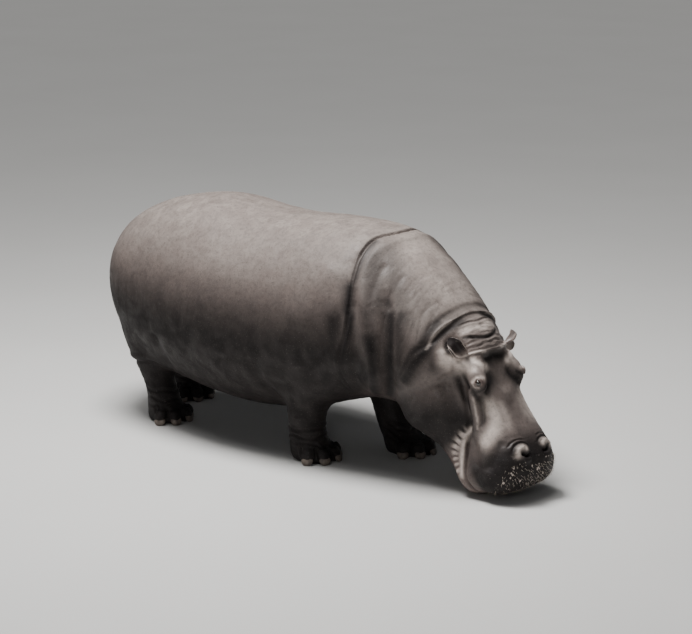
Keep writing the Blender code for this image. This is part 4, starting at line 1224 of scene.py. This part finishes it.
def addHair(bm, home, start, way, side, length, radius):
    # one bent hair of two cones, unwrapped round its tuft's own place
    layer = bm.loops.layers.uv["OFBake"]
    half = length / 2
    bend = (way + side * 0.18).normalized()
    for foot, run, wide, narrow in ((start - way * 0.002, way, radius, radius * 0.75),
            (start + way * half, bend, radius * 0.75, radius * 0.15)):
        turn = run.to_track_quat("Z", "Y").to_matrix().to_4x4()
        matrix = Matrix.Translation(foot + run * (half / 2)) @ turn
        made = bmesh.ops.create_cone(bm, cap_ends=True, segments=3, radius1=wide, radius2=narrow,
            depth=half * 1.06, matrix=matrix)
        for face in {face for vert in made["verts"] for face in vert.link_faces}:
            for loop in face.loops:
                offset = loop.vert.co - start
                part = Vector((offset.dot(side) / length, offset.dot(way) / length - 0.5))
                loop[layer].uv = home + part * bristleShape["patch"]


def addTufts(bm, skin, chosen, kind, pull, draw):
    spots, ways = skin
    hairs, length, radius, splay, hold = bristleShape["tufts"][kind]
    for index in chosen:
        root = Vector(spots[index])
        home = unwrapPlace(root)
        way = (Vector(ways[index]) * hold + Vector(pull)).normalized()
        side = way.orthogonal().normalized()
        for hair in range(hairs):
            lean = Matrix.Rotation(draw.uniform(0, 2 * math.pi), 3, way) @ side
            aim = (way + lean * draw.uniform(0.1, 1.0) * splay).normalized()
            start = root + lean * draw.uniform(0, 0.0025)
            addHair(bm, home, start, aim, lean, length * draw.uniform(0.6, 1.15), radius)


def spreadOut(spots, found, kind, draw):
    # picks points of the skin that are at least a gap apart
    count, gap = bristleShape["counts"][kind]
    kept = []
    for index in draw.permutation(found):
        if len(kept) == count:
            break
        if not kept or np.linalg.norm(spots[kept] - spots[index], axis=1).min() > gap:
            kept.append(index)
    return kept


def newBristles():
    bm = bmesh.new()
    bm.loops.layers.uv.new("OFBake")
    return bm


def within(values, low, high):
    return (values > low) & (values < high)


def muzzleBristles(skin, draw):
    spots, ways = skin
    head = headPlaces(spots)
    forward, side, out = head[:, 0], np.abs(head[:, 1]), head[:, 2]
    lip = np.nonzero((forward > 0.72) & (side < 0.235) & within(out, -0.13, -0.022))[0]
    lowerLip = np.nonzero((forward > 0.70) & (side < 0.24) & within(out, -0.28, -0.13))[0]
    chin = np.nonzero((forward > 0.66) & (out < -0.385) & (spots[:, 2] > 0.02))[0]
    bm = newBristles()
    rooted = spreadOut(spots, lip, "lip", draw)
    rooted += spreadOut(spots, lowerLip, "lowerLip", draw)
    addTufts(bm, skin, rooted, "lip", (0, 0, -0.5), draw)
    chosen = spreadOut(spots, chin, "chin", draw)
    clear = [index for index in chosen if spots[index][2] + ways[index][2] * 0.02 >= 0.004]  # of the floor
    addTufts(bm, skin, clear, "chin", (0, 0, 0), draw)
    return addObject("muzzleBristles", bm)


def earFringe(skin, draw):
    spots = skin[0]
    bm = newBristles()
    for side in sides:
        base, way = earBase(side)
        along = way.normalized()
        offset = spots - np.array(base)
        reach = offset @ np.array(along)
        off = np.linalg.norm(offset - reach[:, None] * np.array(along), axis=1)
        edge = np.nonzero(within(reach, 0.035, 0.16) & within(off, 0.026, 0.09))[0]
        # The union with the ears numbers their points differently each run, so they are sorted by place.
        edge = edge[np.lexsort(np.round(spots[edge], 4).T)]
        addTufts(bm, skin, spreadOut(spots, edge, "ear", draw), "ear", along, draw)
    return addObject("earFringe", bm)


def tailBristles(skin, draw):
    spots = skin[0]
    end = (spots[:, 0] < -1.66) & (np.abs(spots[:, 1]) < 0.05) & within(spots[:, 2], 0.62, 0.80)
    end = np.nonzero(end)[0]
    bm = newBristles()
    addTufts(bm, skin, spreadOut(spots, end, "tail", draw), "tail", (0.05, 0, -1), draw)
    return addObject("tailBristles", bm)


def bristleMaterial():
    sheet = Sheet("paleBristle")
    shade = sheet.noise(160.0, 2)
    paler = sheet.ramp(shade, (0.35, 0.0), (0.65, 1.0))
    base = sheet.blend(paler, bristleFinish["root"], bristleFinish["tip"])
    return sheet.finish({"Base Color": base, "Roughness": 0.38 + 0.12 * shade})


studio = {
    "floorColour": colour(0.56, 0.55, 0.53),
    "floorLight": colour(0.60, 0.59, 0.57),
    "skyColour": colour(0.80, 0.82, 0.85),
    "skyStrength": 0.11,
    # kind, place, aim, power, and width in metres or, for the sun, in degrees
    "keyLight": ("AREA", (-0.6, -1.2, 6.6), (0, 0, 0.8), 770, 2.6),
    "washLight": ("SUN", (-0.6, -1.2, 6.6), (0, 0, 0.8), 1.35, 30),  # even light over the whole floor
    "fillLight": ("AREA", (5.0, -6.5, 3.4), (0.3, 0, 0.7), 45, 1.6),
    "azimuth": 42.64,
    "elevation": 13.36,
    "distance": 15.543,
    "target": (0.0286, 0.1925, 0.80),
    "lens": 128.66,
}


def makeStage():
    bm = bmesh.new()
    bmesh.ops.create_grid(bm, x_segments=1, y_segments=1, size=60)
    floor = addObject("studioFloor", bm)
    sheet = Sheet("paleFloor")
    base = sheet.blend(sheet.noise(0.8, 3), studio["floorColour"], studio["floorLight"])
    floor.data.materials.append(sheet.finish({"Base Color": base, "Roughness": 0.85}))
    floor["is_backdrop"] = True
    world = bpy.data.worlds.new("studioSky")
    bpy.context.scene.world = world
    world.use_nodes = True
    background = world.node_tree.nodes["Background"]
    background.inputs["Color"].default_value = studio["skyColour"]
    background.inputs["Strength"].default_value = studio["skyStrength"]


def makeLight(name):
    kind, place, aim, power, width = studio[name]
    lamp = bpy.data.lights.new(name, kind)
    lamp.energy = power
    if kind == "AREA":
        lamp.shape = "DISK"
        lamp.size = width
    else:
        lamp.angle = math.radians(width)
    piece = bpy.data.objects.new(name, lamp)
    bpy.context.scene.collection.objects.link(piece)
    piece.location = place
    piece.rotation_euler = (Vector(place) - Vector(aim)).to_track_quat("Z", "Y").to_euler()


def makeCamera():
    lens = bpy.data.cameras.new("studioCamera")
    lens.lens = studio["lens"]
    lens.sensor_width = 36
    lens.clip_end = 200
    camera = bpy.data.objects.new("studioCamera", lens)
    bpy.context.scene.collection.objects.link(camera)
    azimuth, elevation = math.radians(studio["azimuth"]), math.radians(studio["elevation"])
    flat = math.cos(elevation)
    away = Vector((math.sin(azimuth) * flat, -math.cos(azimuth) * flat, math.sin(elevation)))
    camera.location = Vector(studio["target"]) + away * studio["distance"]
    camera.rotation_euler = away.to_track_quat("Z", "Y").to_euler()
    bpy.context.scene.camera = camera


def ridePiece(piece, material, slotName, *nodes):
    piece.data.materials.clear()
    piece.data.materials.append(material)
    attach(piece, "root")
    if nodes:
        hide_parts(*nodes)


makeCamera()
makeStage()
for name in ("keyLight", "washLight", "fillLight"):
    makeLight(name)
print("stage and camera set")

skin, fusedTree = fuseSkin()
creasePaths = sculptSkin(skin, fusedTree)
paintSkin(skin, creasePaths)
ridePiece(skin, skinMaterial(), "skin", *fleshNodes)
print("skin painted")

wetEye, horn, bristle = eyeMaterial(), nailMaterial(), bristleMaterial()
for side in sides:
    ridePiece(makeEye(side), wetEye, "eye", "eye_" + side)
for name in nailNodes:
    ridePiece(makeNail(name), horn, "nail", name)
skinPoints = places(skin.data), normals(skin.data)
draw = np.random.RandomState(bristleShape["seed"])
for makeBristles in (muzzleBristles, earFringe, tailBristles):
    ridePiece(makeBristles(skinPoints, draw), bristle, "bristle")
print("eyes, nails and bristles set")

boxes = {"cad": cadBox, "visual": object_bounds()}
repr({key: [list(corner) for corner in box] for key, box in boxes.items()}).replace("'", '"')
